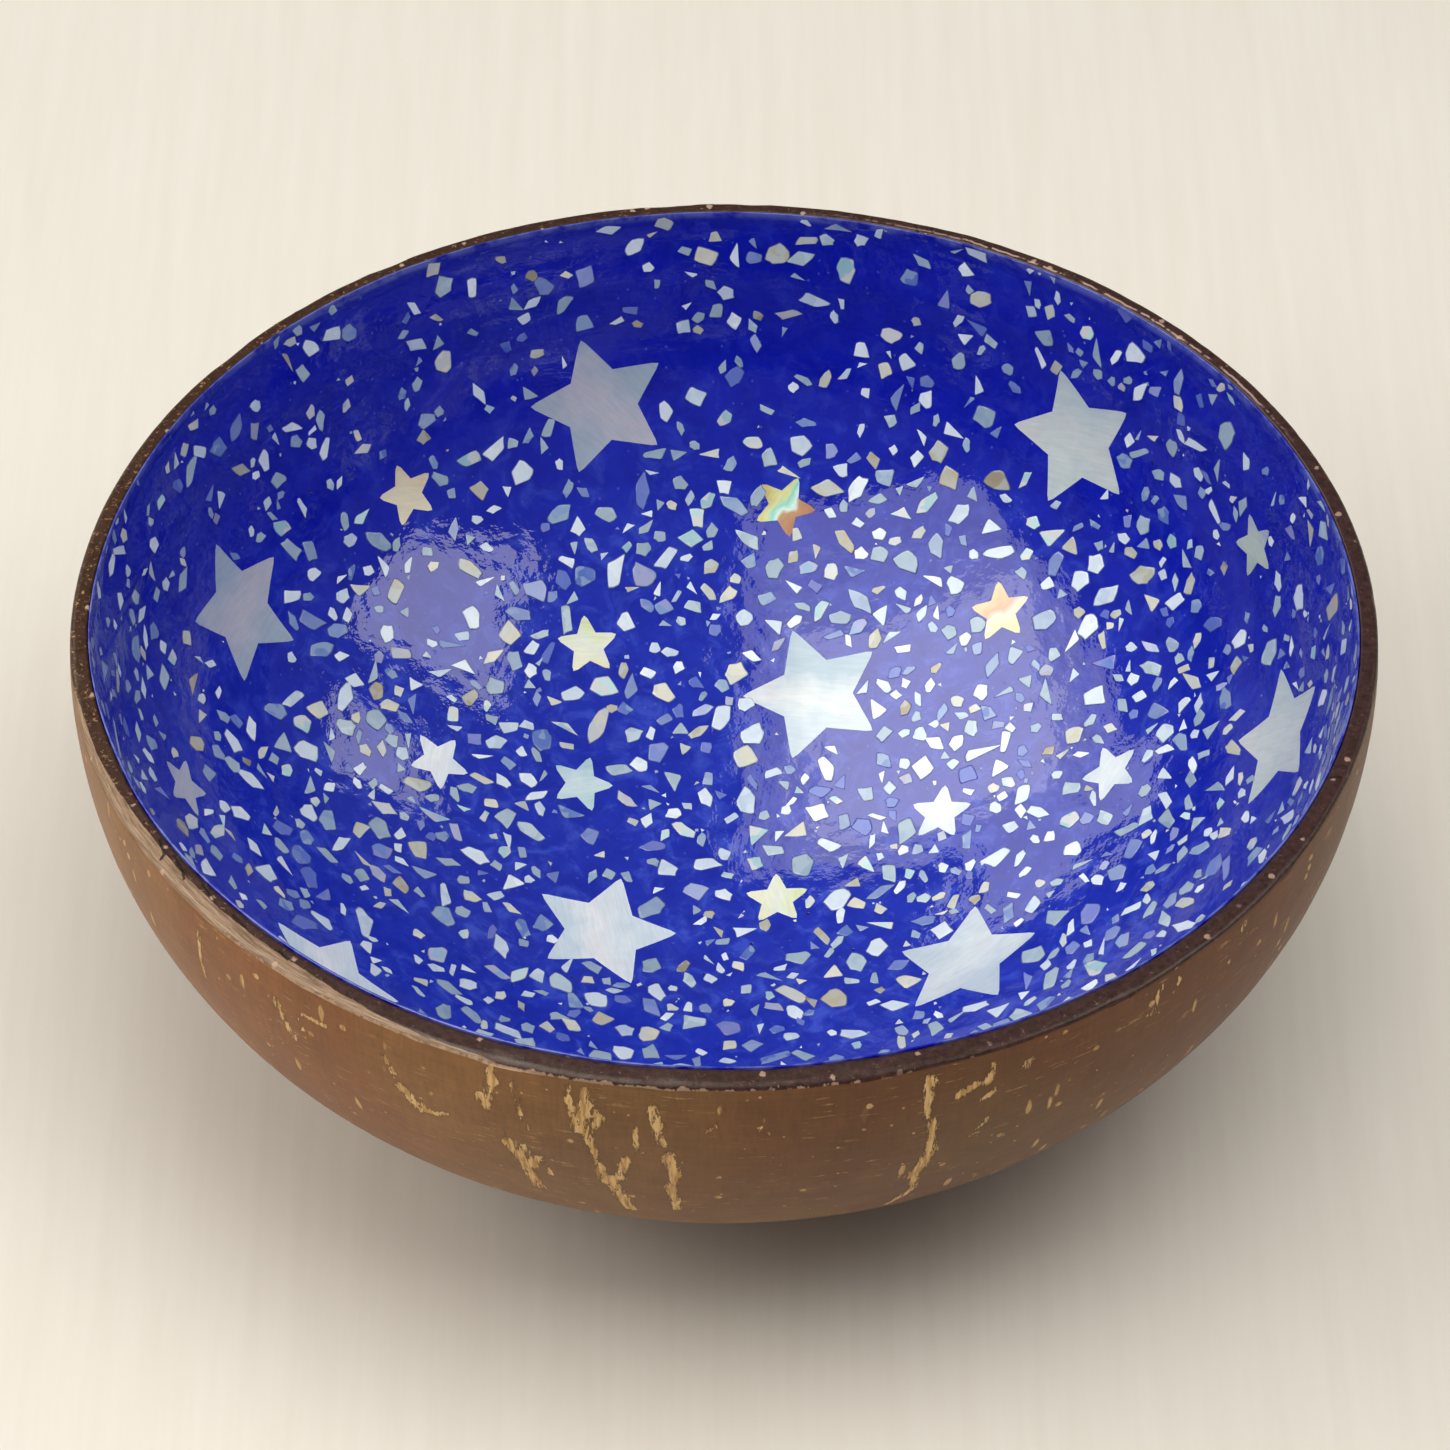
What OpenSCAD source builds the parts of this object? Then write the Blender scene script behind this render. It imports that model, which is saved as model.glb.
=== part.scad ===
// Coconut shell bowl: half a coconut shell, sanded to a small flat foot and lined with blue
// lacquer, with pearl stars and broken shell chips inlaid flush in the lining.
// The origin is the centre of the foot's underside, +Z is up and the front is towards -Y.

/* [Shell] */
// Outer width of the shell at its widest line
bowl_w = 133.3; // [120:0.1:160]
// Depth of the natural shell below its widest line, before the foot is sanded
shell_depth = 51.2; // [46:0.1:56]
// Radius of the curve of the side, seen in section
side_r = 41; // [36:0.1:44]
// Height of the sawn rim above the widest line
rim_rise = 3.3; // [1:0.1:6]
// Thickness sanded off the bottom for the flat foot
foot_cut = 1.2; // [0.6:0.1:2]
// Thickness of the shell at its side
side_wall = 2.5; // [1.8:0.1:4]
// Thickness of the natural shell at its bottom, before sanding
bottom_wall = 3.1; // [2.6:0.1:5]
// Radius of the rounded outer edge of the rim
rim_round = 0.8; // [0.3:0.1:1.2]

/* [Lining] */
// Thickness of the lacquer lining
lining_t = 1.05; // [0.9:0.05:2]
// Gap for the bonding film between the shell and the lining
bond_gap = 0.05; // [0.02:0.01:0.1]
// Radius of the rounded inner edge of the lining
lip_round = 0.5; // [0.2:0.1:0.8]

/* [Stars] */
// Number of points of a star
star_points = 5; // [5:1:8]
// Tip radius of a large star
large_star_r = 8.2; // [6:0.1:9]
// Tip radius of a small star
small_star_r = 3.9; // [3:0.1:4.5]
// Radius of a large star's inner corners, as a share of its tip radius
large_waist_share = 0.51; // [0.38:0.01:0.6]
// Radius of a small star's inner corners, as a share of its tip radius
small_waist_share = 0.43; // [0.38:0.01:0.6]
// Thickness of the stars
star_t = 0.6; // [0.3:0.05:0.7]

/* [Chips] */
// Least radius of a shell chip
chip_min_r = 0.75; // [0.5:0.05:1]
// Greatest radius of a shell chip
chip_max_r = 1.85; // [1.2:0.05:2.2]
// Thickness of the chips
chip_t = 0.35; // [0.2:0.05:0.6]
// Distance between neighbouring places for chips
chip_pitch = 7; // [6:0.1:12]
// Bare margin between the rim and the nearest chip
chip_margin = 1.5; // [1:0.1:8]

/* [Inlay] */
// Gap around each inlaid piece, filled with lacquer
inlay_gap = 0.05; // [0.02:0.01:0.1]

/* [Hidden] */
$fn = 96;
// Extra length of every cut past the surface that it opens
overrun = 1;
// Number of facets up each bowl surface, each within 0.05 mm of the true curve
facets = 28;

// Each star's direction around the bowl, the lean of the lining under it, and its turn, in degrees
large_star_angles = [
    [103.5, 61.5, 10.5], [50.5, 68, 30], [154, 58.5, 62], [73, 26.5, 33],
    [4, 61, 70], [168, 10, 53], [349, 20, 19.5], [201.5, 35, 16.5],
    [232, 63, 40], [273, 52, 8], [311, 64, 25], [333, 45, 50]
];
small_star_angles = [
    [127.5, 56.5, 0.5], [82.5, 43, 51], [50.5, 38.5, 36.5], [112, 31.5, 61],
    [146.5, 29, 59.5], [125.5, 20.5, 22.5], [55, 7.5, 36], [35, 22, 42.5],
    [19, 35, 8.5], [180, 55, 60], [24, 74, 48], [213, 58, 20],
    [251, 71, 44], [249, 33, 12], [292, 70, 66], [303, 38, 30], [342, 68, 5]
];

// The tints of the shell chips: name, colour and share of the chips
tints = [
    ["white", "#e9ebef", 0.24], ["cream", "#e6d9b4", 0.16], ["tan", "#b99c6b", 0.08],
    ["grey", "#9aa3b4", 0.22], ["slate", "#5a6fa8", 0.16], ["pearl", "#b9d3d6", 0.14]
];
// How far a chip's corners draw in from its radius, and along its outline, as shares
corner_draw_share = 0.35;
corner_slide_share = 0.3;

function large_name(i) = str("star_large_", i + 1);
function small_name(i) = str("star_small_", i + 1);
function chips_name(tint) = str("chips_", tint[0]);

// A bowl surface is an oval of a side arc and a bottom arc that meet without a kink.
// It is given by its half width, its depth below the widest line and the side arc's radius.
function inset(oval, t) = [oval[0] - t, oval[1] - t, oval[2] - t];
function side_x(oval) = oval[0] - oval[2];
function bottom_rise(oval) =
    (side_x(oval) ^ 2 - (oval[1] - oval[2]) ^ 2) / (2 * (oval[1] - oval[2]));
function bottom_r(oval) = oval[1] + bottom_rise(oval);
function meet_lean(oval) = atan2(side_x(oval), bottom_rise(oval));
function rim_lean(oval) = 90 + asin(rim_rise / oval[2]);

// Length of an arc of some degrees, and the degrees of an arc of some length
function arc(r, degrees) = PI * r * degrees / 180;
function arc_angle(r, length) = 180 * length / (PI * r);

shell_out = [bowl_w / 2, shell_depth, side_r];
shell_in = [bowl_w / 2 - side_wall, shell_depth - bottom_wall, side_r - side_wall];
lining_out = inset(shell_in, bond_gap);
lining_in = inset(lining_out, lining_t);
star_floor = inset(lining_in, -star_t);
pocket_floor = inset(star_floor, -inlay_gap);

// Radius and height of a surface where it leans by an angle: 0 at the bottom, 90 at the widest line
function at_lean(oval, lean) =
    lean < meet_lean(oval)
        ? [bottom_r(oval) * sin(lean), bottom_rise(oval) - bottom_r(oval) * cos(lean)]
        : [side_x(oval) + oval[2] * sin(lean), -oval[2] * cos(lean)];

// Length of a surface from the bottom's centre up to a lean, and the lean at a length
function length_to(oval, lean) =
    let (meet = meet_lean(oval))
    arc(bottom_r(oval), min(lean, meet)) + arc(oval[2], max(lean - meet, 0));
function lean_at(oval, length) =
    let (meet = meet_lean(oval), bottom_length = length_to(oval, meet))
    length < bottom_length
        ? arc_angle(bottom_r(oval), length)
        : meet + arc_angle(oval[2], length - bottom_length);

// A point of the lining's face
function on_face(direction, lean) =
    let (p = at_lean(lining_in, lean))
    [p[0] * cos(direction), p[0] * sin(direction), p[1]];

// A repeatable number from 0 to 1 for a chip and a purpose
function chance(chip, purpose) =
    let (x = abs(sin(127.1 * chip + 311.7 * purpose)) * 4375.85)
    x - floor(x);

// Places for chips lie in level rings, one pitch apart up the lining and at least that around it.
// Each chip is shifted about its place by less than would let it touch the next.
chip_shift = max(0, chip_pitch / 2 - chip_max_r - 2 * inlay_gap);
chip_reach = length_to(lining_in, rim_lean(lining_in)) - chip_margin - chip_max_r - chip_shift;
chip_rings = floor(chip_reach / chip_pitch);
function ring_r(ring) = at_lean(lining_in, lean_at(lining_in, ring * chip_pitch))[0];
function ring_places(ring) = max(1, floor(2 * PI * ring_r(ring) / chip_pitch));

// A chip: its direction, lean, radius, turn, number of corners and own number
function chip_at(ring, place) =
    let (
        number = 100 * ring + place,
        shift = chip_shift * chance(number, 1),
        way = 360 * chance(number, 2),
        lean = lean_at(lining_in, abs(ring * chip_pitch + shift * cos(way))),
        sideways = arc_angle(max(chip_pitch, at_lean(lining_in, lean)[0]), shift * sin(way))
    )
    [
        360 * (place + chance(ring, 3)) / ring_places(ring) + sideways,
        lean,
        chip_min_r + (chip_max_r - chip_min_r) * chance(number, 4) ^ 2,
        360 * chance(number, 5),
        4 + floor(3 * chance(number, 6)),
        number
    ];

// A chip is laid only where it clears every star
function clears(chip, star_angles, star_r) =
    min([for (star = star_angles) norm(on_face(chip[0], chip[1]) - on_face(star[0], star[1]))])
        > star_r + chip[2] + 2 * inlay_gap;
function clears_all(chip) =
    clears(chip, large_star_angles, large_star_r) && clears(chip, small_star_angles, small_star_r);
chips = [
    for (ring = [0 : chip_rings], place = [0 : ring_places(ring) - 1])
        let (chip = chip_at(ring, place))
        if (clears_all(chip)) chip
];

// The tint of a chip, as a place in the list of tints
function share_up_to(i) = i < 0 ? 0 : tints[i][2] + share_up_to(i - 1);
function tint_of(chip) =
    min([for (i = [0 : len(tints) - 1]) if (chance(chip[5], 7) < share_up_to(i) || i == len(tints) - 1) i]);

// Section of everything inside a bowl surface, up to a height over the widest line.
// The lowest facet is level, so that the bottom has no point.
module oval_section(oval, top) {
    leans = [for (i = [0 : facets - 1]) (i + 0.5) / facets * rim_lean(oval)];
    rim = at_lean(oval, rim_lean(oval));
    polygon(concat(
        [[0, top], [0, at_lean(oval, leans[0])[1]]],
        [for (lean = leans) at_lean(oval, lean)],
        [rim, [rim[0], top]]
    ));
}

// The corner to take off the section at the rim, on a surface's outer side (1) or inner side (-1)
module rim_corner(oval, r, side) {
    x = side_x(oval) + sqrt((oval[2] - side * r) ^ 2 - (rim_rise - r) ^ 2);
    z = rim_rise - r;
    outward = side * [x - side_x(oval), z] / norm([x - side_x(oval), z]);
    difference() {
        polygon([
            [x, z], [x, rim_rise + overrun],
            [x + 2 * side * overrun, rim_rise + overrun],
            [x, z] + 2 * overrun * outward
        ]);
        translate([x, z]) circle(r = r);
    }
}

module shell() {
    color("#7a5a40") translate([0, 0, shell_depth - foot_cut]) rotate_extrude() difference() {
        oval_section(shell_out, rim_rise);
        oval_section(shell_in, rim_rise + overrun);
        translate([0, -shell_depth - overrun]) square([bowl_w / 2, overrun + foot_cut]);
        rim_corner(shell_out, rim_round, 1);
    }
}

// Stands what follows on the lining: its Z axis out of the face and its X axis up the slope
module on_lining(direction, lean, turn) {
    p = at_lean(lining_in, lean);
    translate([0, 0, shell_depth - foot_cut])
        rotate([0, 0, direction])
            translate([p[0], 0, p[1]])
                rotate([0, -lean, 0])
                    rotate([0, 0, turn])
                        children();
}

// A straight prism with a star's outline, which runs through the lining's face
module star_prism(star, tip_r, waist_share, gap) {
    below = 2 * star_t;
    above = tip_r ^ 2 / lining_in[2] + overrun;
    on_lining(star[0], star[1], star[2]) translate([0, 0, -below]) linear_extrude(below + above)
        polygon([
            for (k = [0 : 2 * star_points - 1])
                let (r = (tip_r + gap) * (k % 2 == 0 ? 1 : waist_share), a = 180 * k / star_points)
                [r * cos(a), r * sin(a)]
        ]);
}

// A star follows the lining's face, and is cut from a layer as thick as itself
module star(star, tip_r, waist_share) {
    color("#d9dde2") intersection() {
        star_prism(star, tip_r, waist_share, 0);
        translate([0, 0, shell_depth - foot_cut]) rotate_extrude() difference() {
            oval_section(star_floor, rim_rise);
            oval_section(lining_in, rim_rise + overrun);
        }
    }
}

// A flat chip, with its face level with the lining's at its centre
module chip_prism(chip, gap, above) {
    corners = chip[4];
    on_lining(chip[0], chip[1], chip[3]) translate([0, 0, -chip_t - gap]) linear_extrude(chip_t + gap + above)
        polygon([
            for (k = [0 : corners - 1])
                let (
                    a = 360 * (k + corner_slide_share * (2 * chance(chip[5], 20 + k) - 1)) / corners,
                    r = chip[2] * (1 - corner_draw_share * chance(chip[5], 10 + k)) + gap
                )
                [r * cos(a), r * sin(a)]
        ]);
}

module chips_of_tint(i) {
    color(tints[i][1]) for (chip = chips) if (tint_of(chip) == i) chip_prism(chip, 0, 0);
}

module lining() {
    color("#1d2a86") difference() {
        translate([0, 0, shell_depth - foot_cut]) rotate_extrude() difference() {
            oval_section(lining_out, rim_rise);
            oval_section(lining_in, rim_rise + overrun);
            rim_corner(lining_in, lip_round, -1);
        }
        intersection() {
            union() {
                for (star = large_star_angles) star_prism(star, large_star_r, large_waist_share, inlay_gap);
                for (star = small_star_angles) star_prism(star, small_star_r, small_waist_share, inlay_gap);
            }
            translate([0, 0, shell_depth - foot_cut]) rotate_extrude() oval_section(pocket_floor, rim_rise);
        }
        for (chip = chips) chip_prism(chip, inlay_gap, overrun);
    }
}

shell();
lining();
for (i = [0 : len(large_star_angles) - 1])
    star(large_star_angles[i], large_star_r, large_waist_share);
for (i = [0 : len(small_star_angles) - 1])
    star(small_star_angles[i], small_star_r, small_waist_share);
for (i = [0 : len(tints) - 1])
    chips_of_tint(i);
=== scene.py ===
"""Coconut shell bowl with a blue lacquer lining, pearl stars and shell chips.

Lengths are metres and angles radians unless a name says mm or degrees. The bowl stands on z = 0 with its
axis on Z. A direction goes round the axis from +X. A lean goes up the wall: 0 at the bottom, a quarter
turn at the widest line.
"""
import math
import random
from collections import namedtuple
from itertools import product

import bmesh
import bpy
import numpy as np
from bpy.props import FloatProperty, FloatVectorProperty, IntProperty, PointerProperty
from mathutils import Matrix, Vector, noise


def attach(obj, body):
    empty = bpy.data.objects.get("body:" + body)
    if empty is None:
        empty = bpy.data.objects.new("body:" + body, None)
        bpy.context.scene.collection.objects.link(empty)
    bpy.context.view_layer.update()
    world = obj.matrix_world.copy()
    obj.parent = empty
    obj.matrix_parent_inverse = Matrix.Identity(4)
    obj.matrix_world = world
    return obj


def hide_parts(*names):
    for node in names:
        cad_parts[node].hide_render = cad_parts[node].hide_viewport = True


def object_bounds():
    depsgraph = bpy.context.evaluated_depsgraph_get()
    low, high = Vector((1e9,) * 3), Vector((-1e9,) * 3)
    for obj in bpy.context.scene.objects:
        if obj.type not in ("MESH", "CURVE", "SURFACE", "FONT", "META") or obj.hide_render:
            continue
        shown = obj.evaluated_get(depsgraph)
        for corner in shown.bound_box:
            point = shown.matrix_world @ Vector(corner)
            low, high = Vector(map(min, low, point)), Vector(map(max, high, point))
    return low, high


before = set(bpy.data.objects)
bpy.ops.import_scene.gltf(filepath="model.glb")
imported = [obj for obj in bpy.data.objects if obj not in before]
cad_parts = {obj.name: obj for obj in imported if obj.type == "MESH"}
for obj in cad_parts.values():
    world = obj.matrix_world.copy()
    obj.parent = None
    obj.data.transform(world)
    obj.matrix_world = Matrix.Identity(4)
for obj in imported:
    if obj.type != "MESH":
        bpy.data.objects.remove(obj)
CAD_LOW, CAD_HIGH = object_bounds()

bl_info = {
    "name": "Coconut Shell Bowl",
    "version": (1, 0, 0),
    "blender": (4, 5, 0),
    "location": "View3D > Sidebar > Bowl",
    "description": "Builds a coconut shell bowl lined with blue lacquer, pearl stars and shell chips",
    "category": "Object",
}

MM = 0.001
TURN = 2 * math.pi


def paint(code):
    """A colour written as #rrggbb, as the linear values that Blender works in."""
    parts = [int(code[i:i + 2], 16) / 255 for i in (1, 3, 5)]
    return tuple(p / 12.92 if p <= 0.04045 else ((p + 0.055) / 1.055) ** 2.4 for p in parts)


def length(name, mm, about):
    """A length setting, shown in the scene's units."""
    return FloatProperty(name=name, description=about, default=mm * MM, min=0, unit="LENGTH", precision=5)


def colour(name, code, about):
    """A colour setting."""
    return FloatVectorProperty(name=name, description=about, default=paint(code), size=3, min=0, max=1,
                               subtype="COLOR")


def share(name, value, about):
    """A setting from 0 to 1."""
    return FloatProperty(name=name, description=about, default=value, min=0, max=1, subtype="FACTOR")


def whole(name, number, about, least=0):
    """A whole number setting."""
    return IntProperty(name=name, description=about, default=number, min=least)


def clamp(t):
    """A number held between 0 and 1."""
    return min(1.0, max(0.0, t))


def smooth(t):
    """0 to 1 with a soft start and end."""
    t = clamp(t)
    return t * t * (3 - 2 * t)


def way_of(direction):
    """The level way, one long, that a direction points."""
    return Vector((math.cos(direction), math.sin(direction), 0))


def polar(point):
    """A place's direction and its distance from the axis."""
    return math.atan2(point.y, point.x), math.hypot(point.x, point.y)


def flat_places(spots):
    """Places given as (angle, distance), as (x, y)."""
    return [(distance * math.cos(angle), distance * math.sin(angle)) for angle, distance in spots]


def lumps(point, mm):
    """Soft noise from -1 to 1 with lumps of about that many mm."""
    return noise.noise(point / (mm * MM))


# ---- settings ----

class BowlShapeSettings(bpy.types.PropertyGroup):
    """The half coconut and its lining."""
    width: length("Width", 133.3, "Across the outside at the widest line")
    depth: length("Depth", 51.2, "From the widest line down to the round bottom")
    side_radius: length("Side radius", 41.0, "Radius of the side arc, outside")
    foot_cut: length("Foot cut", 1.2, "How much is sanded off the bottom for the foot")
    side_wall: length("Side wall", 2.5, "Thickness of the shell at the side")
    bottom_wall: length("Bottom wall", 3.1, "Thickness of the shell at the bottom")
    lining: length("Lining", 1.05, "Thickness of the lacquer")
    bond: length("Bond", 0.05, "Film between shell and lacquer")
    rim_round: length("Rim round", 0.8, "Rounding of the rim's two edges")
    rim_dip: length("Rim dip", 0.35, "How much the sawn rim rises and falls")
    lip_round: length("Lip round", 0.25, "Rounding of the lacquer's edge")
    ripple: length("Ripple", 0.09, "Height of the lacquer's slow ripples")


class BowlShellSettings(bpy.types.PropertyGroup):
    """The oiled coconut shell."""
    brown: colour("Brown", "#7a5431", "The smoothed wall's main colour")
    red_brown: colour("Red brown", "#764a2a", "The wall where it turns redder")
    pore_and_shade: colour("Pore", "#46301d", "Fine dark lines of the grain")
    fibre: colour("Fibre", "#e2bb80", "Pale fibres left in the wall")
    rim_dark: colour("Rim", "#35201f", "The sealed sawn rim")
    rim_warm: colour("Warm rim", "#351c0c", "The rim where the seal is thin")
    rim_pale: colour("Sanded rim", "#8b6f56", "The rim where it was sanded bare")
    segments: whole("Segments", 600, "Steps round the bowl, a multiple of 16", 64)


class BowlLacquerSettings(bpy.types.PropertyGroup):
    """The blue lacquer."""
    blue: colour("Blue", "#1e30ac", "The lacquer in the light, at the bottom")
    deep_blue: colour("Deep blue", "#0c17a2", "The lacquer up the wall")
    milky_blue: colour("Milky blue", "#4a62d2", "Faint clouds in the lacquer")
    segments: whole("Segments", 416, "Steps round the lining, a multiple of 16", 64)


class BowlInlaySettings(bpy.types.PropertyGroup):
    """The pearl stars and the shell chips."""
    large_radius: length("Large star", 8.2, "From a large star's middle to its tips")
    small_radius: length("Small star", 3.9, "From a small star's middle to its tips")
    large_waist: share("Large waist", 0.51, "A large star's inner corners, as a share of its radius")
    small_waist: share("Small waist", 0.45, "A small star's inner corners, as a share of its radius")
    small_chips: whole("Small chips", 2060, "Chips between the large ones")
    flakes: whole("Flakes", 300, "Tiny bits of shell")
    seed: whole("Seed", 11, "Another number gives another scatter of the chips")


class BowlStageSettings(bpy.types.PropertyGroup):
    """Table, lamps and camera."""
    table: colour("Table", "#e9e4da", "The table's colour")
    camera_height: FloatProperty(name="Camera height", description="Viewing angle above level",
                                 default=math.radians(42.44), subtype="ANGLE")
    camera_distance: length("Camera distance", 665, "From the camera to the middle of the rim")
    lens: FloatProperty(name="Lens", description="Focal length in millimetres", default=162.22, min=1)
    lamp_strength: FloatProperty(name="Lamps", description="Brightness of the soft boxes' faces",
                                 default=2.87)
    sky_strength: FloatProperty(name="Surround", description="Brightness of the room", default=0.18)


# ---- the bowl's surfaces ----

class Oval:
    """Half section of the bowl: a flat bottom arc that runs smoothly into a rounder side arc."""

    def __init__(self, half_width, depth, side_radius):
        short = depth - side_radius
        self.side_radius = side_radius
        self.side_x = half_width - side_radius
        self.rise = (self.side_x ** 2 - short ** 2) / (2 * short)
        self.bottom_radius = depth + self.rise
        self.meet = math.atan2(self.side_x, self.rise)

    def at(self, lean):
        """Distance from the axis, and height over the widest line."""
        if lean < self.meet:
            return self.bottom_radius * math.sin(lean), self.rise - self.bottom_radius * math.cos(lean)
        return self.side_x + self.side_radius * math.sin(lean), -self.side_radius * math.cos(lean)

    def lean_of(self, out, height):
        """The lean whose square line runs through a place."""
        lean = math.atan2(out, self.rise - height)
        return lean if lean < self.meet else math.atan2(out - self.side_x, -height)

    def lean_after(self, run):
        """The lean that a run along the surface from the bottom reaches."""
        bottom_run = self.bottom_radius * self.meet
        if run < bottom_run:
            return run / self.bottom_radius
        return self.meet + (run - bottom_run) / self.side_radius

    def run_to(self, lean):
        """Length along the surface from the bottom to a lean."""
        if lean < self.meet:
            return self.bottom_radius * lean
        return self.bottom_radius * self.meet + self.side_radius * (lean - self.meet)

    def out_at(self, height):
        """Distance from the axis at a height over the widest line."""
        side = self.side_radius * math.cos(self.meet)
        if -height < side:
            return self.side_x + math.sqrt(self.side_radius ** 2 - height ** 2)
        return math.sqrt(max(0.0, self.bottom_radius ** 2 - (self.rise - height) ** 2))


# Where the wall at the rim is thinner than the section, in mm: direction in degrees, shell, lacquer
RIM_THINNING = [(0, 0.6, 0.82), (45, 0.65, 0.85), (90, 0.8, 0.88), (140, 0.9, 0.88), (180, 0.65, 0.86),
                (203, 0.0, 0.82), (222, -0.4, 0.78), (248, -0.15, 0.8), (280, 0.0, 0.82),
                (320, 0.3, 0.82), (360, 0.6, 0.82)]
# How far under the rim that thinning reaches, and how far the rim's rise and fall does
RIM_BAND, DIP_BAND = 9 * MM, 4 * MM
# Lengths in mm of the lacquer's slow and short ripples, and the short ones' share of their height
RIPPLE, SHORT_RIPPLE, SHORT_SHARE = 13, 5.2, 0.35
# The rim's rise and fall: share of its height, and how closely the waves follow one another
DIP_WAVES = ((0.5, 1.7), (0.25, 9))
# How far a lean and a place are moved to find which way the face looks
LEAN_STEP, FACE_STEP = 0.004, 0.2 * MM


def round_table(table, direction, column=1):
    """A value from a table of directions, with soft steps between its rows."""
    degrees = math.degrees(direction) % 360
    for low, high in zip(table, table[1:]):
        if degrees <= high[0]:
            t = smooth((degrees - low[0]) / (high[0] - low[0]))
            return low[column] + (high[column] - low[column]) * t
    return table[-1][column]


class Form:
    """All surfaces of the bowl, worked out from its shape settings."""

    def __init__(self, shape):
        self.shape = shape
        self.widest = shape.depth - shape.foot_cut
        self.rim = CAD_HIGH.z
        side = bottom = 0.0
        ovals = []
        for more_side, more_bottom in ((0, 0), (shape.side_wall, shape.bottom_wall),
                                       (shape.bond, shape.bond), (shape.lining, shape.lining)):
            side, bottom = side + more_side, bottom + more_bottom
            ovals.append(Oval(shape.width / 2 - side, shape.depth - bottom, shape.side_radius - side))
        self.outer, self.inner, self.back, self.face = ovals
        self.lip_turn = 1.3 * shape.lip_round / self.face.side_radius

    def side_centre(self, oval):
        """The middle of an oval's side arc, as distance from the axis and height."""
        return oval.side_x, self.widest

    def bottom_centre(self, oval):
        """The middle of an oval's bottom arc."""
        return 0, self.widest + oval.rise

    def rim_lean(self, oval):
        """The lean of an oval where the rim cuts it."""
        return math.pi / 2 + math.asin((self.rim - self.widest) / oval.side_radius)

    def out_at_rim(self, oval):
        """The distance from the axis of an oval where the rim cuts it."""
        return oval.side_x + oval.side_radius * math.sin(self.rim_lean(oval))

    def near_rim(self, height, band):
        """1 at the rim and 0 a band below it."""
        return smooth((height - self.rim + band) / band)

    def through(self, first, second, point):
        """How far a place is on its level way from one oval to another, from 0 to 1."""
        height = point.z - self.widest
        start, end = first.out_at(height), second.out_at(height)
        if abs(end - start) < 1e-6:
            return 0.0
        return clamp((polar(point)[1] - start) / (end - start))

    def settle(self, point, thinning):
        """Gives a place near the rim the real rim's uneven width and height."""
        direction, out = polar(point)
        way = way_of(direction)
        dip = clamp(sum((part * noise.noise(way * waves) for part, waves in DIP_WAVES), 0.5))
        drop = self.shape.rim_dip * dip * self.near_rim(point.z, DIP_BAND)
        shift = thinning * self.near_rim(point.z, RIM_BAND)
        return way * (out + shift) + Vector((0, 0, point.z - drop))

    def shell_thinning(self, direction):
        """How far outside the section the shell's inner face stands at the rim."""
        return round_table(RIM_THINNING, direction) * MM

    def face_thinning(self, direction):
        """How far outside the section the lacquer's face stands at the rim."""
        return self.shell_thinning(direction) + round_table(RIM_THINNING, direction, 2) * MM

    def ripple(self, point):
        """Height of the lacquer's ripples, which die out at the rim."""
        slow = lumps(point, RIPPLE) + SHORT_SHARE * lumps(point, SHORT_RIPPLE)
        return self.shape.ripple * slow * (1 - self.near_rim(point.z, RIM_BAND))

    def tangent_frame(self, direction, lean):
        """A place on the plain face with its up, sideways and inward ways."""
        out, height = self.face.at(lean)
        way = way_of(direction)
        point = way * out + Vector((0, 0, self.widest + height))
        up = way * math.cos(lean) + Vector((0, 0, math.sin(lean)))
        inward = way * -math.sin(lean) + Vector((0, 0, math.cos(lean)))
        return point, up, inward.cross(up), inward

    def on_face(self, direction, lean, proud=0.0):
        """A place on the lacquer's rippled face, or over it."""
        point, _, _, inward = self.tangent_frame(direction, lean)
        point += inward * (self.ripple(point) + proud)
        return self.settle(point, self.face_thinning(direction))

    def face_normal(self, direction, lean):
        """The way that the lacquer's face looks at a place."""
        turn = FACE_STEP / max(self.face.at(lean)[0], FACE_STEP)
        up = self.on_face(direction, lean + LEAN_STEP) - self.on_face(direction, lean - LEAN_STEP)
        along = self.on_face(direction + turn, lean) - self.on_face(direction - turn, lean)
        return up.cross(along).normalized()

    def drop_on_face(self, point):
        """Direction and lean of the place on the face under a point, cut off below the lip."""
        direction, out = polar(point)
        lean = self.face.lean_of(out, point.z - self.widest)
        return direction, min(lean, self.rim_lean(self.face) - self.lip_turn)


# ---- mesh helpers ----

# How often the spun sector is doubled to close the ring
DOUBLINGS = 4


def verts_of(geom):
    """The vertices among the parts that an operator made."""
    return [g for g in geom if isinstance(g, bmesh.types.BMVert)]


def swing(bm, vert, centre, angle, steps):
    """Swings a vertex of the section about a centre in the XZ plane and returns the last one."""
    made = bmesh.ops.spin(bm, geom=[vert], cent=(centre[0], 0, centre[1]), axis=(0, -1, 0),
                          angle=angle, steps=steps, use_duplicate=False)
    return verts_of(made["geom_last"])[0]


def reach(bm, vert, out, height, steps=1):
    """Draws the section straight on to a place and returns the new vertex."""
    start = vert.co.copy()
    for step in range(1, steps + 1):
        made = bmesh.ops.extrude_vert_indiv(bm, verts=[vert])
        vert = made["verts"][0]
        vert.co = start.lerp(Vector((out, 0, height)), step / steps)
    return vert


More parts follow.
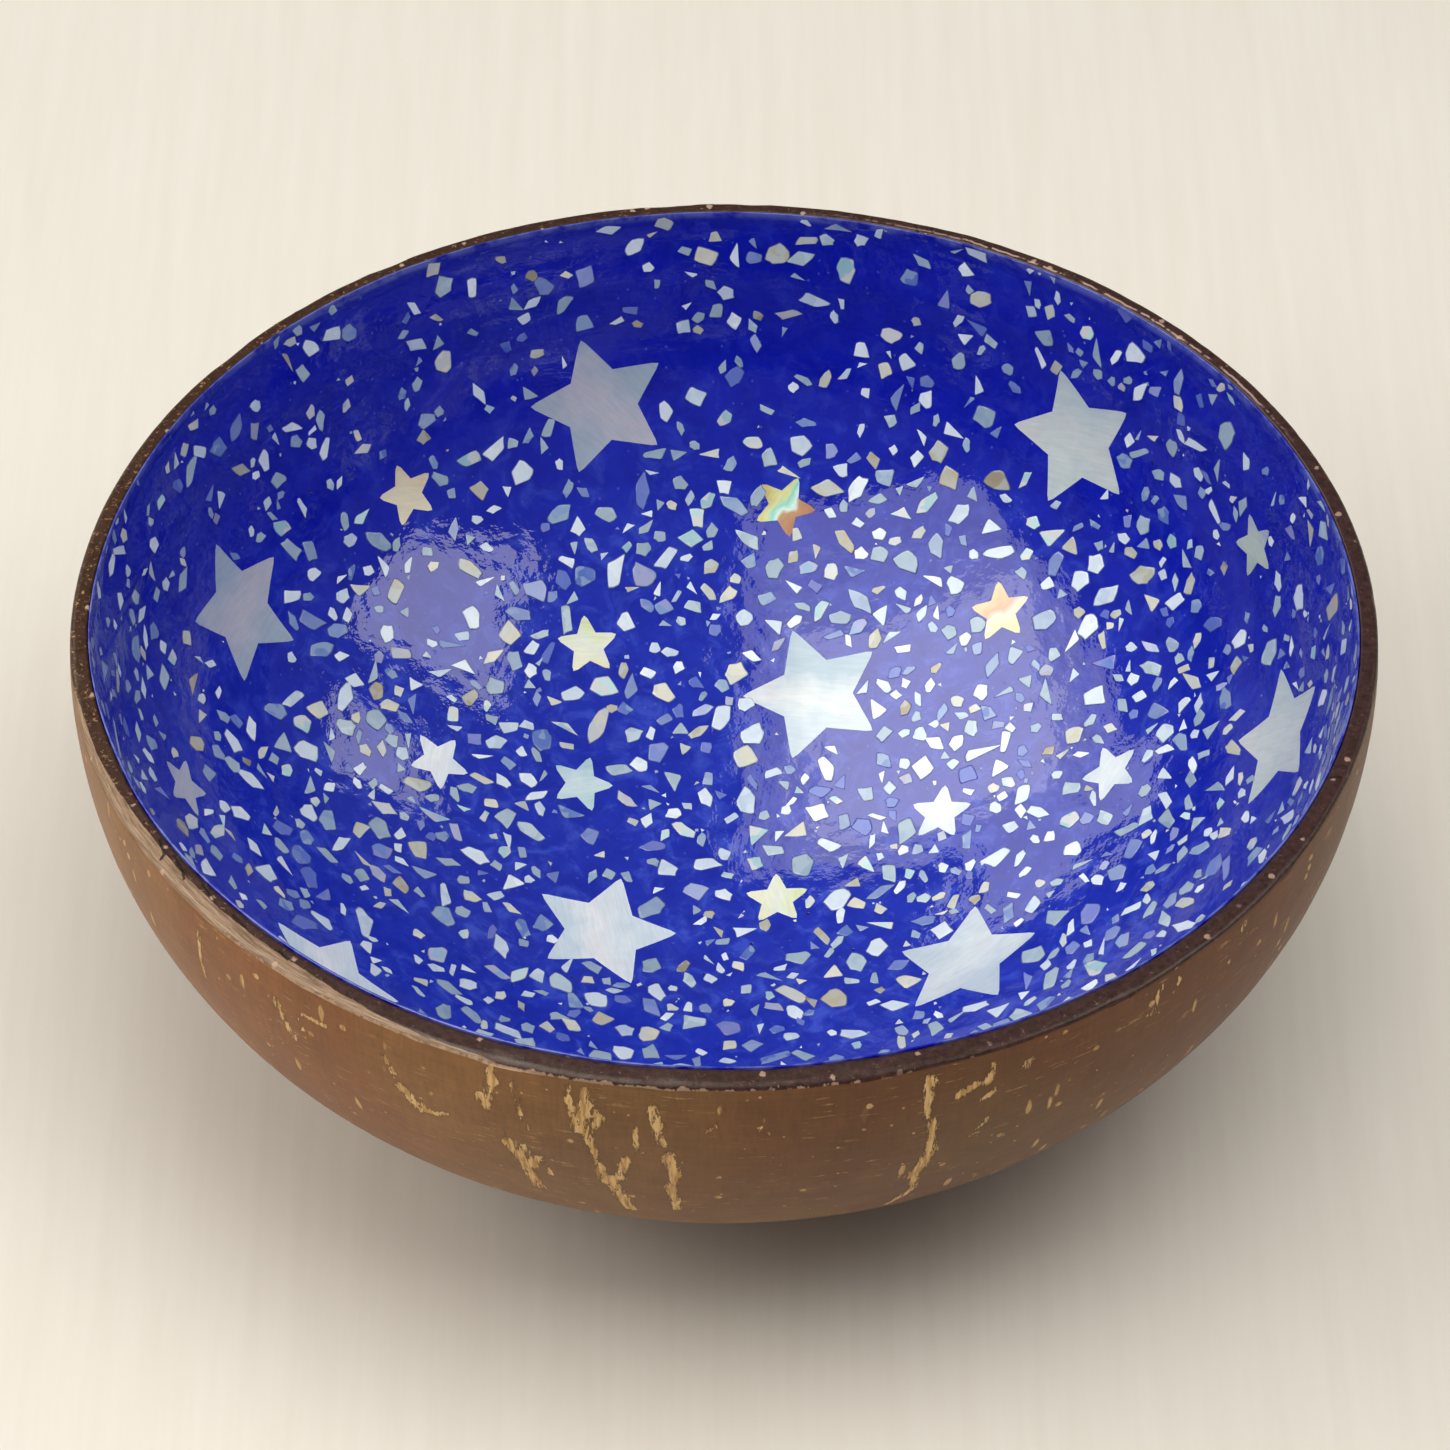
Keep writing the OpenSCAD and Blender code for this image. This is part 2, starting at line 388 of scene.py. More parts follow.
def turn_section(bm, steps):
    """Turns the drawn section once round the axis into a closed solid; steps is a multiple of 16.

    A sixteenth is spun and doubled four times, which is much quicker than one long spin.
    """
    sectors = 2 ** DOUBLINGS
    bmesh.ops.spin(bm, geom=bm.verts[:] + bm.edges[:], cent=(0, 0, 0), axis=(0, 0, 1),
                   angle=TURN / sectors, steps=steps // sectors, use_merge=False, use_duplicate=False)
    for doubling in range(DOUBLINGS):
        made = bmesh.ops.duplicate(bm, geom=bm.verts[:] + bm.edges[:] + bm.faces[:])
        turn = Matrix.Rotation(TURN / sectors * 2 ** doubling, 3, "Z")
        bmesh.ops.rotate(bm, verts=verts_of(made["geom"]), cent=(0, 0, 0), matrix=turn)
    bmesh.ops.remove_doubles(bm, verts=bm.verts[:], dist=0.002 * MM)
    bmesh.ops.recalc_face_normals(bm, faces=bm.faces[:])


def round_ring(bm, out, height, radius, segments):
    """Rounds the sharp ring at a distance from the axis and a height."""
    near = 0.01 * MM
    ring = {v for v in bm.verts if abs(polar(v.co)[1] - out) < near and abs(v.co.z - height) < near}
    bmesh.ops.bevel(bm, geom=[edge for edge in bm.edges if ring.issuperset(edge.verts)],
                    offset=radius, offset_type="OFFSET", segments=segments, profile=0.5,
                    affect="EDGES", material=-1, clamp_overlap=True)


def make_piece(name, bm, materials, node, normals=None):
    """Turns a bmesh into a finished piece that stands for a CAD node."""
    mesh = bpy.data.meshes.new(name)
    bm.to_mesh(mesh)
    bm.free()
    for material in materials:
        mesh.materials.append(material)
    mesh.shade_smooth()
    if normals:
        mesh.normals_split_custom_set_from_vertices(normals)
    piece = bpy.data.objects.new(name, mesh)
    bpy.context.scene.collection.objects.link(piece)
    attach(piece, "root")
    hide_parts(node)
    return piece


def nearness(places, strokes):
    """1 on the middle line of a stroke, 0.5 at its edge and 0 a width away.

    A stroke is its half width and the points of its middle line, all in one unit with the places.
    """
    best = np.zeros(len(places))
    for half_width, line in strokes:
        for start, end in zip(line, line[1:]):
            way = end - start
            t = np.clip((places - start) @ way / (way @ way), 0, 1)
            gap = np.linalg.norm(places - start - t[:, None] * way, axis=1)
            best = np.maximum(best, 1 - 0.5 * gap / half_width)
    return best


# ---- materials ----

# The grain's coordinates: how much their height falls with the distance from the axis, and the
# radius in mm of the ring that they run round
GRAIN_FALL, GRAIN_RING = 0.35, 66


def rgba(value):
    """The four numbers of a colour given as a code, as three numbers or as one grey."""
    if isinstance(value, str):
        value = paint(value)
    elif isinstance(value, (int, float)):
        value = (value,) * 3
    return (*value, 1)


class Signal:
    """A value in a material; arithmetic on it adds Math nodes."""

    def __init__(self, finish, socket):
        self.finish = finish
        self.socket = socket

    def math(self, operation, first, second=0.0):
        return self.finish.add("Math", {"operation": operation}, {0: first, 1: second})

    def __add__(self, other):
        return self.math("ADD", self, other)

    def __sub__(self, other):
        return self.math("SUBTRACT", self, other)

    def __rsub__(self, other):
        return self.math("SUBTRACT", other, self)

    def __mul__(self, other):
        return self.math("MULTIPLY", self, other)

    def __pow__(self, other):
        return self.math("POWER", self, other)

    def __abs__(self):
        return self.math("ABSOLUTE", self)

    __radd__ = __add__
    __rmul__ = __mul__


class Finish:
    """One material; every node in it comes from add()."""

    def __init__(self, name):
        self.material = bpy.data.materials.new(name)
        self.material.use_nodes = True
        self.tree = self.material.node_tree
        self.tree.nodes.clear()
        self.place = self.scaled(self.add("TexCoord", output="Object"), (1 / MM, 1 / MM, 1 / MM))

    def add(self, kind, settings=None, sockets=None, output=0):
        """A node of a kind, with its settings, then the values or signals of its sockets."""
        node = self.tree.nodes.new("ShaderNode" + kind)
        for key, value in (settings or {}).items():
            if key == "stops":
                elements = node.color_ramp.elements
                while len(elements) < len(value):
                    elements.new(0.5)
                for element, (position, tint) in zip(elements, value):
                    element.position = position
                    element.color = rgba(tint)
            else:
                setattr(node, key, value)
        for key, value in (sockets or {}).items():
            if isinstance(value, Signal):
                self.tree.links.new(value.socket, node.inputs[key])
            else:
                node.inputs[key].default_value = value
        return Signal(self, node.outputs[output]) if len(node.outputs) else None

    def vector(self, operation, first, second=(0, 0, 0), output=0):
        return self.add("VectorMath", {"operation": operation}, {0: first, 1: second}, output)

    def scaled(self, vector, by):
        return self.vector("MULTIPLY", vector, by)

    def moved(self, vector, by):
        return self.vector("ADD", vector, by)

    def part(self, vector, axis):
        return self.add("SeparateXYZ", sockets={0: vector}, output=axis)

    def noise(self, place, scale, detail=2.0, roughness=0.5, distortion=0.0):
        """Soft noise; scale is patches for each mm."""
        return self.add("TexNoise", None, {"Vector": place, "Scale": scale, "Detail": detail,
                                           "Roughness": roughness, "Distortion": distortion})

    def cells(self, place, scale, output="Distance"):
        return self.add("TexVoronoi", None, {"Vector": place, "Scale": scale}, output)

    def spots(self, place, scale, size, rareness):
        """Round spots with ragged edges; size and rareness are shares of a cell and of all cells."""
        ragged = self.cells(place, scale) + (self.noise(place, 5 * scale, 2) - 0.5) * size
        kind = self.part(self.cells(place, scale, "Color"), "X")
        return self.step(ragged, size, 0.6 * size) * self.step(kind, rareness, rareness + 0.02)

    def most(self, first, *others, operation="MAXIMUM"):
        """The largest of several values."""
        for other in others:
            first = first.math(operation, first, other)
        return first

    def least(self, *values):
        """The smallest of several values."""
        return self.most(*values, operation="MINIMUM")

    def gap_to_line(self, *ends):
        """Level distance in mm to a line between two places, each (degrees, mm from the axis)."""
        start, end = (Vector((*place, 0))
                      for place in flat_places((math.radians(a), r) for a, r in ends))
        way = (end - start).normalized()
        offset = self.moved(self.scaled(self.place, (1, 1, 0)), tuple(-start))
        along, across = (self.vector("DOT_PRODUCT", offset, axis, "Value")
                         for axis in (tuple(way), (-way.y, way.x, 0)))
        half = (end - start).length / 2
        beyond = self.most(abs(along - half) - half, 0.0)
        return (across * across + beyond * beyond) ** 0.5

    def step(self, value, low, high):
        """0 below low, 1 above high, soft between; the other way round where low is larger."""
        return self.add("MapRange", {"interpolation_type": "SMOOTHSTEP"},
                        {"Value": value, "From Min": low, "From Max": high})

    def blend(self, factor, first, second, kind="MIX"):
        first, second = (c if isinstance(c, Signal) else rgba(c) for c in (first, second))
        return self.add("Mix", {"data_type": "RGBA", "blend_type": kind},
                        {0: factor, 6: first, 7: second}, 2)

    def ramp(self, factor, *stops):
        return self.add("ValToRGB", {"stops": stops}, {0: factor})

    def shaded(self, base, factor, *stops):
        """A colour made darker and lighter by the stops of a ramp."""
        return self.blend(1.0, base, self.ramp(factor, *stops), "MULTIPLY")

    def value_of(self, name):
        """A number kept in the piece's mesh."""
        return self.add("Attribute", {"attribute_type": "GEOMETRY", "attribute_name": name}, output="Fac")

    def grain_place(self, along_share):
        """Coordinates in mm that run round the bowl and up it, drawn out along the grain."""
        flat = self.scaled(self.place, (1, 1, 0))
        ring = self.scaled(self.vector("NORMALIZE", flat), (GRAIN_RING,) * 3)
        out = self.vector("LENGTH", flat, output="Value")
        up = self.part(self.place, "Z") - GRAIN_FALL * out
        return self.moved(ring, self.add("CombineXYZ", sockets={"Z": up * along_share}))

    def bump(self, height, mm):
        return self.add("Bump", None, {"Height": height, "Distance": mm * MM})

    def surface(self, **sockets):
        """The shader; each name is a socket's, with _ for a space."""
        sockets = {key.replace("_", " "): value for key, value in sockets.items()}
        shader = self.add("BsdfPrincipled", None, sockets)
        self.add("OutputMaterial", None, {"Surface": shader})
        return self.material


def wall_finish(shell):
    """Smoothed and oiled coconut shell: brown, with pores, pale dots and raised pale fibres, and painted
    light and shade.
    """
    f = Finish("oiled_shell_wall")
    height = f.part(f.place, "Z")
    grain = f.grain_place(0.16)
    broad = f.noise(f.place, 0.035, 2)
    fine = f.noise(grain, 2.2, 4, 0.6)
    brushed = f.noise(f.scaled(f.place, (0.12, 0.12, 3.0)), 1.1, 3, 0.6)
    base = f.blend(f.step(broad, 0.42, 0.62), shell.brown, shell.red_brown)
    base = f.shaded(base, f.noise(f.place, 0.2, 4, 0.6), (0.3, 0.84), (0.7, 1.08))
    base = f.shaded(base, fine, (0.3, (0.86, 0.85, 0.84)), (0.7, (1.07, 1.06, 1.05)))
    base = f.shaded(base, brushed, (0.35, 0.92), (0.65, (1.04, 1.04, 1.03)))
    # Painted light and shade: the left side of the nut, towards the lamps, is painted paler and the right
    # side darker
    side = f.step(f.part(f.place, "X") + (broad - 0.5) * 30, -50, 48)
    base = f.shaded(base, side, (0, (1.46, 1.48, 1.36)), (0.12, (1.38, 1.4, 1.26)),
                    (0.24, (1.1, 1.12, 1.08)), (0.5, (1.03, 1.1, 1.0)),
                    (0.85, (0.74, 0.74, 0.63)), (1, (0.8, 0.74, 0.62)))

    pores = f.step(f.noise(f.grain_place(0.22), 2.6, 3, 0.65), 0.67, 0.75)
    base = f.blend(pores * 0.45, base, shell.pore_and_shade)

    # Thin pale scratches, dots and little sticks
    dash = f.step(f.noise(f.scaled(f.place, (0.4, 0.4, 3.2)), 0.9, 3, 0.6, 0.4), 0.62, 0.67)
    dash = dash * f.step(f.noise(f.place, 0.15, 1), 0.44, 0.58)
    dots = f.spots(f.place, 0.36, 0.17, 0.6)
    crumbs = f.spots(f.moved(f.place, (9, 4, 2)), 0.8, 0.15, 0.72)
    sticks = f.spots(f.moved(f.grain_place(0.28), (2, 8, 5)), 0.5, 0.19, 0.66)
    sticks = sticks * f.step(height, 5, 12)

    ragged = f.noise(f.grain_place(0.26), 2.7, 4, 0.72, 0.8)
    strokes = f.value_of("fibre") + (ragged - 0.5) * 1.7
    fibres = f.step(strokes, 0.55, 0.66)
    # Painted shade: a dark rim in the pore colour beside each raised fibre, where shade would fall
    edge = f.step(strokes, 0.4, 0.53) * (1 - fibres)
    pale = f.most(fibres * 0.92, dash * 0.34, dots * 0.75, crumbs * 0.6, sticks * 0.7)
    straw = f.blend(f.step(f.noise(grain, 2.6, 3), 0.36, 0.66), shell.fibre, "#b5884f")
    base = f.blend(edge * 0.45, base, shell.pore_and_shade)
    base = f.blend(pale, base, straw)

    # The sanded foot shows bare, paler shell
    foot = f.step(height, 0.12, 0.02)
    sanded = f.noise(f.scaled(f.place, (0.22, 2.2, 1)), 1.0, 4, 0.65)
    bare = f.ramp(sanded, (0.32, "#80603f"), (0.68, "#a17e5c"))
    bare = f.shaded(bare, f.noise(f.place, 0.16, 3, 0.6),
                    (0.35, (0.84, 0.82, 0.8)), (0.65, (1.04, 1.03, 1.02)))
    base = f.blend(foot * 0.8, base, bare)

    relief = fine * 0.5 + pores * -0.5 + fibres * 0.8 + f.noise(f.place, 0.3, 2) * 2
    rough = 0.46 + 0.16 * pale + 0.1 * (fine - 0.5) + 0.15 * foot
    return f.surface(Base_Color=base, Roughness=rough, Normal=f.bump(relief, 0.05), IOR=1.46,
                     Specular_IOR_Level=0.28)


def rim_finish(shell):
    """The sawn rim under a clear seal: dark, with pale crumbs, bare and paler at the front left, and
    painted highlights.
    """
    f = Finish("sealed_sawn_rim")
    warm = f.value_of("warm")
    grain = f.grain_place(0.5)
    streaks = f.noise(f.scaled(f.grain_place(9), (0.3, 0.3, 1)), 1.1, 4, 0.65)
    fine = f.noise(f.place, 1.3, 5, 0.7)
    base = f.blend(warm, shell.rim_dark, shell.rim_warm)
    base = f.shaded(base, fine, (0.34, (0.45, 0.42, 0.4)), (0.68, (1.7, 1.6, 1.5)))
    bare = f.step(f.value_of("bare") + (f.noise(f.place, 0.6, 4, 0.65) - 0.5) * 0.7, 0.4, 0.6)
    bare_tint = f.ramp(streaks, (0.34, "#624b39"), (0.5, shell.rim_pale), (0.68, "#a58b72"))
    base = f.blend(bare, base, bare_tint)

    flat = f.scaled(f.place, (1, 1, 0.6))
    crumbs = f.spots(f.moved(flat, (3, 1, 0)), 0.6, 0.24, 0.8 - 0.12 * warm)
    bits = f.noise(f.moved(flat, (7, 5, 0)), 1.9, 4, 0.75, 0.6)
    bits = f.step(bits + 0.05 * warm, 0.63, 0.69)
    base = f.blend(bits * (0.25 + 0.45 * warm), base, f.blend(warm, "#a98a78", "#bd9158"))
    base = f.blend(crumbs * (0.5 + 0.3 * warm), base, "#c9a890")
    ragged = (f.noise(f.place, 1.6, 3) - 0.5) * 0.5
    gaps = [f.gap_to_line(*ends) + ragged for ends in RIM_CRACKS]
    cracks = f.step(f.least(*gaps), 0.17, 0.05)
    base = f.blend(cracks * 0.92, base, "#180c09")
    # Painted highlight: a pale line along the rim's rounded outer edge, where it catches the light
    arris = f.value_of("arris") + (f.noise(grain, 1.3, 3, 0.6) - 0.5) * 1.2
    base = f.blend(f.step(arris, 0.5, 0.62) * 0.6, base, "#b3957a")

    # Painted highlight: a thin pinkish line on the rim at the back right, where the light catches it
    highlight_off = f.value_of("across") + (f.noise(grain, 0.5, 3, 0.6) - 0.5) * 0.4 - 0.3
    line = f.step(abs(highlight_off), 0.1, 0.04) * f.value_of("line")
    line = line * f.step(f.noise(grain, 0.7, 3, 0.6), 0.38, 0.5)
    base = f.blend(line * 0.7, base, "#cfaea6")

    relief = fine * 0.9 + crumbs * 0.4 + bits * 0.3 - cracks * 2.5
    rough = 0.34 + 0.2 * bare + 0.15 * crumbs
    return f.surface(Base_Color=base, Roughness=rough, Normal=f.bump(relief, 0.06), IOR=1.5,
                     Specular_IOR_Level=0.36)


def lacquer_finish(lacquer):
    """Deep blue lacquer under a gloss that isn't quite level, painted lighter at the bottom, with a
    painted highlight on its lip.
    """
    f = Finish("blue_lacquer")
    height = f.part(f.place, "Z")
    cloud = f.noise(f.place, 0.09, 3, 0.55)
    wisps = f.noise(f.moved(f.place, (31, 7, 12)), 0.33, 4, 0.62, 0.8)
    # Painted light and shade: the lacquer is painted lighter at the bottom, where the light from above
    # falls, and deeper blue up the wall
    low = f.step(height + (cloud - 0.5) * 22, 40, 9)
    base = f.blend(low, lacquer.deep_blue, lacquer.blue)
    base = f.blend(f.step(wisps, 0.46, 0.76) * (0.12 + 0.5 * low), base, lacquer.milky_blue)
    base = f.shaded(base, f.noise(f.moved(f.place, (3, 14, 8)), 0.28, 4, 0.65),
                    (0.32, (0.7, 0.7, 0.82)), (0.62, (1.04, 1.04, 1.02)))
    base = f.blend(f.spots(f.place, 0.95, 0.18, 0.74) * 0.4, base, "#5568cf")
    pits = f.spots(f.moved(f.place, (5, 3, 1)), 0.21, 0.05, 0.5)
    base = f.blend(pits * 0.85, base, "#0a0a28")
    # Painted highlight: a pale lavender band along the lacquer's lip at the rim, where its rounded edge
    # catches the light
    lip = f.step(height, 52.0, 53.0) * f.step(f.noise(f.place, 0.3, 3, 0.6), 0.36, 0.6)
    base = f.blend(lip * 0.45, base, "#8c98dc")
    # Slow waves, finer ones that fray the highlights' edges, and brush marks here and there
    brushed = f.noise(f.scaled(f.grain_place(1.0), (0.16, 0.16, 0.95)), 1.0, 3, 0.55, 0.5)
    brushed = brushed * f.step(f.noise(f.moved(f.place, (11, 2, 6)), 0.07, 1), 0.45, 0.6)
    relief = 2.1 * f.noise(f.place, 0.2, 2, 0.5) + 0.65 * f.noise(f.place, 0.55, 3, 0.6)
    relief = relief + 0.55 * brushed - pits * 0.4
    rough = 0.02 + 0.06 * f.noise(f.place, 0.3, 3)
    return f.surface(Base_Color=base, Roughness=rough, Normal=f.bump(relief, 0.08), IOR=1.5)


# The clear gloss over the stars and the chips
GLOSS = {"IOR": 1.5, "Specular_IOR_Level": 0.2, "Coat_Weight": 0.55, "Coat_Roughness": 0.08,
         "Coat_IOR": 1.5}


def chip_finish(name, light, dark, streak):
    """Broken shell under the clear gloss; each chip has its own tone and painted shade along its edge."""
    f = Finish(name)
    grain = f.noise(f.moved(f.place, (17, 5, 3)), 0.75, 2, 0.5)
    facet = f.step(f.noise(f.place, 0.6, 1), 0.48, 0.52)
    mixed = f.add("Math", {"operation": "ADD", "use_clamp": True},
                  {0: f.value_of("tone"), 1: (grain - 0.5) * 0.5})
    base = f.blend(mixed, dark, light)
    base = f.blend(facet * 0.55, base, streak)
    base = f.blend(f.value_of("sunk"), base, "#3448bd")
    # Painted shade: each chip's worn edge is painted dark blue, as the shade around a raised chip
    base = f.blend(f.step(f.value_of("edge"), 0.3, 0.85) * 0.85, base, "#232e78")
    return f.surface(Base_Color=base, Roughness=0.4, Metallic=0.05, **GLOSS)


def pearl_finish(name, band, twist, *stops):
    """Mother of pearl: colour bands across a star, under the clear gloss."""
    f = Finish(name)
    across = f.add("UVMap", {"uv_map": "star"})
    turned = f.add("VectorRotate", {"rotation_type": "Z_AXIS"},
                   {"Vector": across, "Angle": math.radians(twist)})
    swirl = f.noise(turned, 0.35, 2, 0.5)
    base = f.ramp(f.part(turned, "X") * band + (swirl - 0.5) * 0.6 + 0.5, *stops)
    lines = f.noise(f.scaled(turned, (1.0, 0.12, 1.0)), 2.4, 4, 0.65)
    base = f.shaded(base, lines, (0.32, (0.86, 0.88, 0.9)), (0.66, 1.0))
    patches = f.noise(f.moved(across, (4, 9, 2)), 0.22, 3, 0.55, 0.5)
    base = f.shaded(base, patches, (0.3, (0.9, 0.92, 0.95)), (0.5, 1.0), (0.7, (0.97, 0.93, 0.95)))
    return f.surface(Base_Color=base, Roughness=0.38, Metallic=0.08, **GLOSS)


# ---- the shell ----

# Pale fibres in the wall: half width in mm, then direction in degrees and height in mm down each one
WALL_FIBRES = [
    (0.75, 242, 44.8, 242.8, 43.4, 243.7, 42.4), (0.35, 243.7, 42.4, 245, 42.3, 246.3, 43.1),
    (0.5, 250.5, 52.2, 250.4, 50.4, 250.2, 47.3), (0.5, 249.3, 47.8, 250, 46.1),
    (0.35, 250.7, 52, 251.1, 50.1), (0.32, 252.4, 51, 252.8, 47.2, 253.2, 45.4, 253.7, 44.1),
    (0.7, 251.5, 41.4, 252.5, 38.3, 253.4, 32), (0.45, 253.1, 41.1, 253.5, 37),
    (0.5, 257.2, 50.1, 257.5, 47.9, 257.8, 45.4), (0.35, 257, 52, 257.2, 51.4),
    (0.5, 258.5, 51.6, 258.7, 44.7, 259.5, 39.6, 260.1, 36), (0.8, 259.8, 36.7, 261.1, 38),
    (0.55, 261.1, 38, 261.8, 41.7), (0.75, 260.2, 37.6, 260.9, 33.2, 261.5, 29.5),
    (0.4, 258.8, 50, 259.9, 48, 259.4, 46.5), (0.42, 262.5, 46.8, 263, 43),
    (0.6, 264.1, 50.1, 264.5, 47.4), (0.45, 264.5, 47.4, 264.9, 44.8), (0.7, 265.4, 43, 265.9, 39.1),
    (0.6, 265.9, 39.1, 265.4, 36.4, 265.8, 31), (0.4, 268.9, 47.2, 269.2, 47.9),
    (0.32, 273.2, 47.6, 273.5, 46.2), (0.6, 287.2, 51.4, 287, 48.6), (0.4, 287, 48.6, 287.2, 45.7),
    (0.55, 287.5, 45.1, 287.9, 39.9), (0.75, 287.9, 39.9, 287.3, 36.8, 286.6, 34.8),
    (0.5, 286.8, 34.8, 287.3, 31.1, 285.8, 26), (0.45, 292.8, 51, 292.4, 48.8),
    (0.55, 292.4, 48.8, 290.8, 48.7, 289.6, 47.8), (0.35, 293.4, 47.6, 292, 46.4),
    (0.4, 296, 50.3, 295.8, 48.9), (0.3, 291.4, 40.6, 292.8, 43.2), (0.45, 219.8, 49.9, 219.8, 48),
    (0.32, 219.8, 48, 219.4, 45.5, 219.7, 43), (0.45, 229.3, 48.6, 230.1, 46.3, 230.9, 44),
    (0.35, 232.4, 48.7, 234.8, 48.9), (0.3, 231.8, 47.8, 232.4, 46.2), (0.4, 240.5, 48.6, 241.5, 46.5),
    (0.4, 333.6, 43.4, 333.4, 41.8), (0.42, 319.6, 51.9, 319.4, 51), (0.3, 326.9, 42.4, 325.6, 41.1),
    (0.3, 309.3, 51.6, 308.5, 48.4), (0.3, 311.7, 51.5, 310.9, 49.6), (0.35, 254.3, 39.4, 254.9, 36),
    (0.5, 20, 46, 21, 41, 20.5, 36), (0.7, 38, 50, 38.8, 44), (0.45, 41, 43, 41.6, 36, 40.9, 30),
    (0.6, 66, 40, 67, 33, 66.3, 27), (0.35, 71, 49, 71.6, 46), (0.55, 92, 51, 92.8, 45, 92.1, 41),
    (0.8, 94.5, 38, 95.5, 34), (0.4, 113, 47, 114.4, 44), (0.6, 131, 44, 130.2, 37, 131, 31),
    (0.4, 133.6, 50, 134, 46), (0.5, 155, 42, 156.2, 37), (0.65, 171, 50, 170.4, 43),
    (0.4, 173.5, 40, 174.3, 33), (0.45, 196, 46, 197, 40), (0.5, 351, 49, 350.3, 43),
    (0.4, 347.5, 37, 348.4, 31),
]
# Cracks in the rim, each from one (direction in degrees, mm from the axis) to another
RIM_CRACKS = [
    ((210.8, 64.4), (212.5, 64.9)), ((212.5, 64.9), (213.0, 65.7)), ((213.2, 64.2), (215.4, 64.7)),
    ((215.4, 64.7), (216.1, 65.2)), ((217.6, 64.1), (219.8, 64.4)), ((222.5, 64.4), (224.4, 64.6)),
    ((228.4, 64.5), (229.6, 64.8)), ((71.0, 64.8), (71.5, 65.9)), ((338.0, 64.9), (338.4, 65.8)),
]
# Where a thin painted highlight line runs along the rim: direction in degrees, share
RIM_HIGHLIGHT_LINE = [(0, 0), (22, 0), (34, 0.9), (62, 1), (74, 0.4), (84, 0), (360, 0)]
# Where the rim is bare wood, warm under a thin seal, or painted pale along its outer edge as a highlight,
# in the same way
RIM_BARE = [(0, 0), (180, 0), (196, 0.6), (210, 0.95), (230, 0.9), (246, 0.45), (262, 0.1), (285, 0),
            (360, 0)]
RIM_WARM = [(0, 0), (60, 0.3), (100, 0.6), (150, 1), (190, 1), (215, 0.5), (250, 0.2), (360, 0)]
RIM_ARRIS_HIGHLIGHT = [(0, 0.15), (100, 0.1), (200, 0.1), (235, 0.5), (262, 0.55), (275, 0.42), (300, 0.2),
             (360, 0.15)]
# Steps of the section: the foot, the bottom arc and the side arc, then the side and the bottom inside
FOOT_STEPS, BOTTOM_STEPS, SIDE_STEPS, INNER_SIDE_STEPS, INNER_BOTTOM_STEPS = 12, 46, 60, 18, 8
FOOT_ROUND = 0.5 * MM
# Steps of the roundings: the rim's outer and inner edge and the foot's
OUTER_ROUND_STEPS, INNER_ROUND_STEPS, FOOT_ROUND_STEPS = 5, 2, 3
# As shares of the rim's rounding: the last step to its outer and inner edge, the inner edge's
# own rounding, and how far down the sawn face reaches
OUTER_STEP, INNER_STEP, INNER_ROUND, SAWN_REACH = 1.1, 0.5, 0.35, 0.75
# How far the hand-sanded wall is off round, in mm, in long waves and in short ones, and their lengths
WALL_WAVE, WALL_WAVE_LENGTH, WALL_DENT, WALL_DENT_LENGTH = 0.12, 17, 0.03, 3
# The sawn rim, in mm: saw marks, and places torn out along its outer edge
SAW_MARK, SAW_MARK_LENGTH, TEAR, TEAR_LENGTH, TEAR_BAND = 0.05, 1.5, 0.7, 4.2, 1.6
TEAR_RARENESS = 0.25
# Where the bare wood starts across the rim, how much that moves with its share, and its soft edge
BARE_START, BARE_MOVE, BARE_SOFT = 1.2, 0.85, 0.25
# The painted highlight on the outer edge: how far in its middle lies and its half width in mm, and its
# strength
ARRIS_IN, ARRIS_WIDTH, ARRIS_STRENGTH = 0.05, 0.45, 1.4


def shell_mesh(form, segments):
    """The shell as turned, with the distances of its rim's inner and outer edge from the axis."""
    outer, inner, rim_round = form.outer, form.inner, form.shape.rim_round
    foot_lean = math.acos((outer.rise + form.widest) / outer.bottom_radius)
    foot_out = outer.at(foot_lean)[0]
    edge_turn = OUTER_STEP * rim_round / outer.side_radius
    outer_side, inner_side = form.side_centre(outer), form.side_centre(inner)
    bm = bmesh.new()
    vert = reach(bm, bm.verts.new((0, 0, 0)), foot_out, 0, FOOT_STEPS)
    vert = swing(bm, vert, form.bottom_centre(outer), outer.meet - foot_lean, BOTTOM_STEPS)
    vert = swing(bm, vert, outer_side, form.rim_lean(outer) - outer.meet - edge_turn, SIDE_STEPS)
    vert = swing(bm, vert, outer_side, edge_turn, 1)
    rim_in, rim_out = form.out_at_rim(inner), vert.co.x
    vert = reach(bm, vert, rim_out - OUTER_STEP * rim_round, form.rim)
    vert = reach(bm, vert, rim_in + INNER_STEP * rim_round, form.rim, 3)
    vert = reach(bm, vert, rim_in, form.rim)
    vert = swing(bm, vert, inner_side, -edge_turn, 1)
    vert = swing(bm, vert, inner_side, inner.meet - form.rim_lean(inner) + edge_turn, INNER_SIDE_STEPS)
    swing(bm, vert, form.bottom_centre(inner), -inner.meet, INNER_BOTTOM_STEPS)
    turn_section(bm, segments)
    round_ring(bm, rim_out, form.rim, rim_round, OUTER_ROUND_STEPS)
    round_ring(bm, rim_in, form.rim, INNER_ROUND * rim_round, INNER_ROUND_STEPS)
    round_ring(bm, foot_out, 0, FOOT_ROUND, FOOT_ROUND_STEPS)
    return bm, rim_in, rim_out


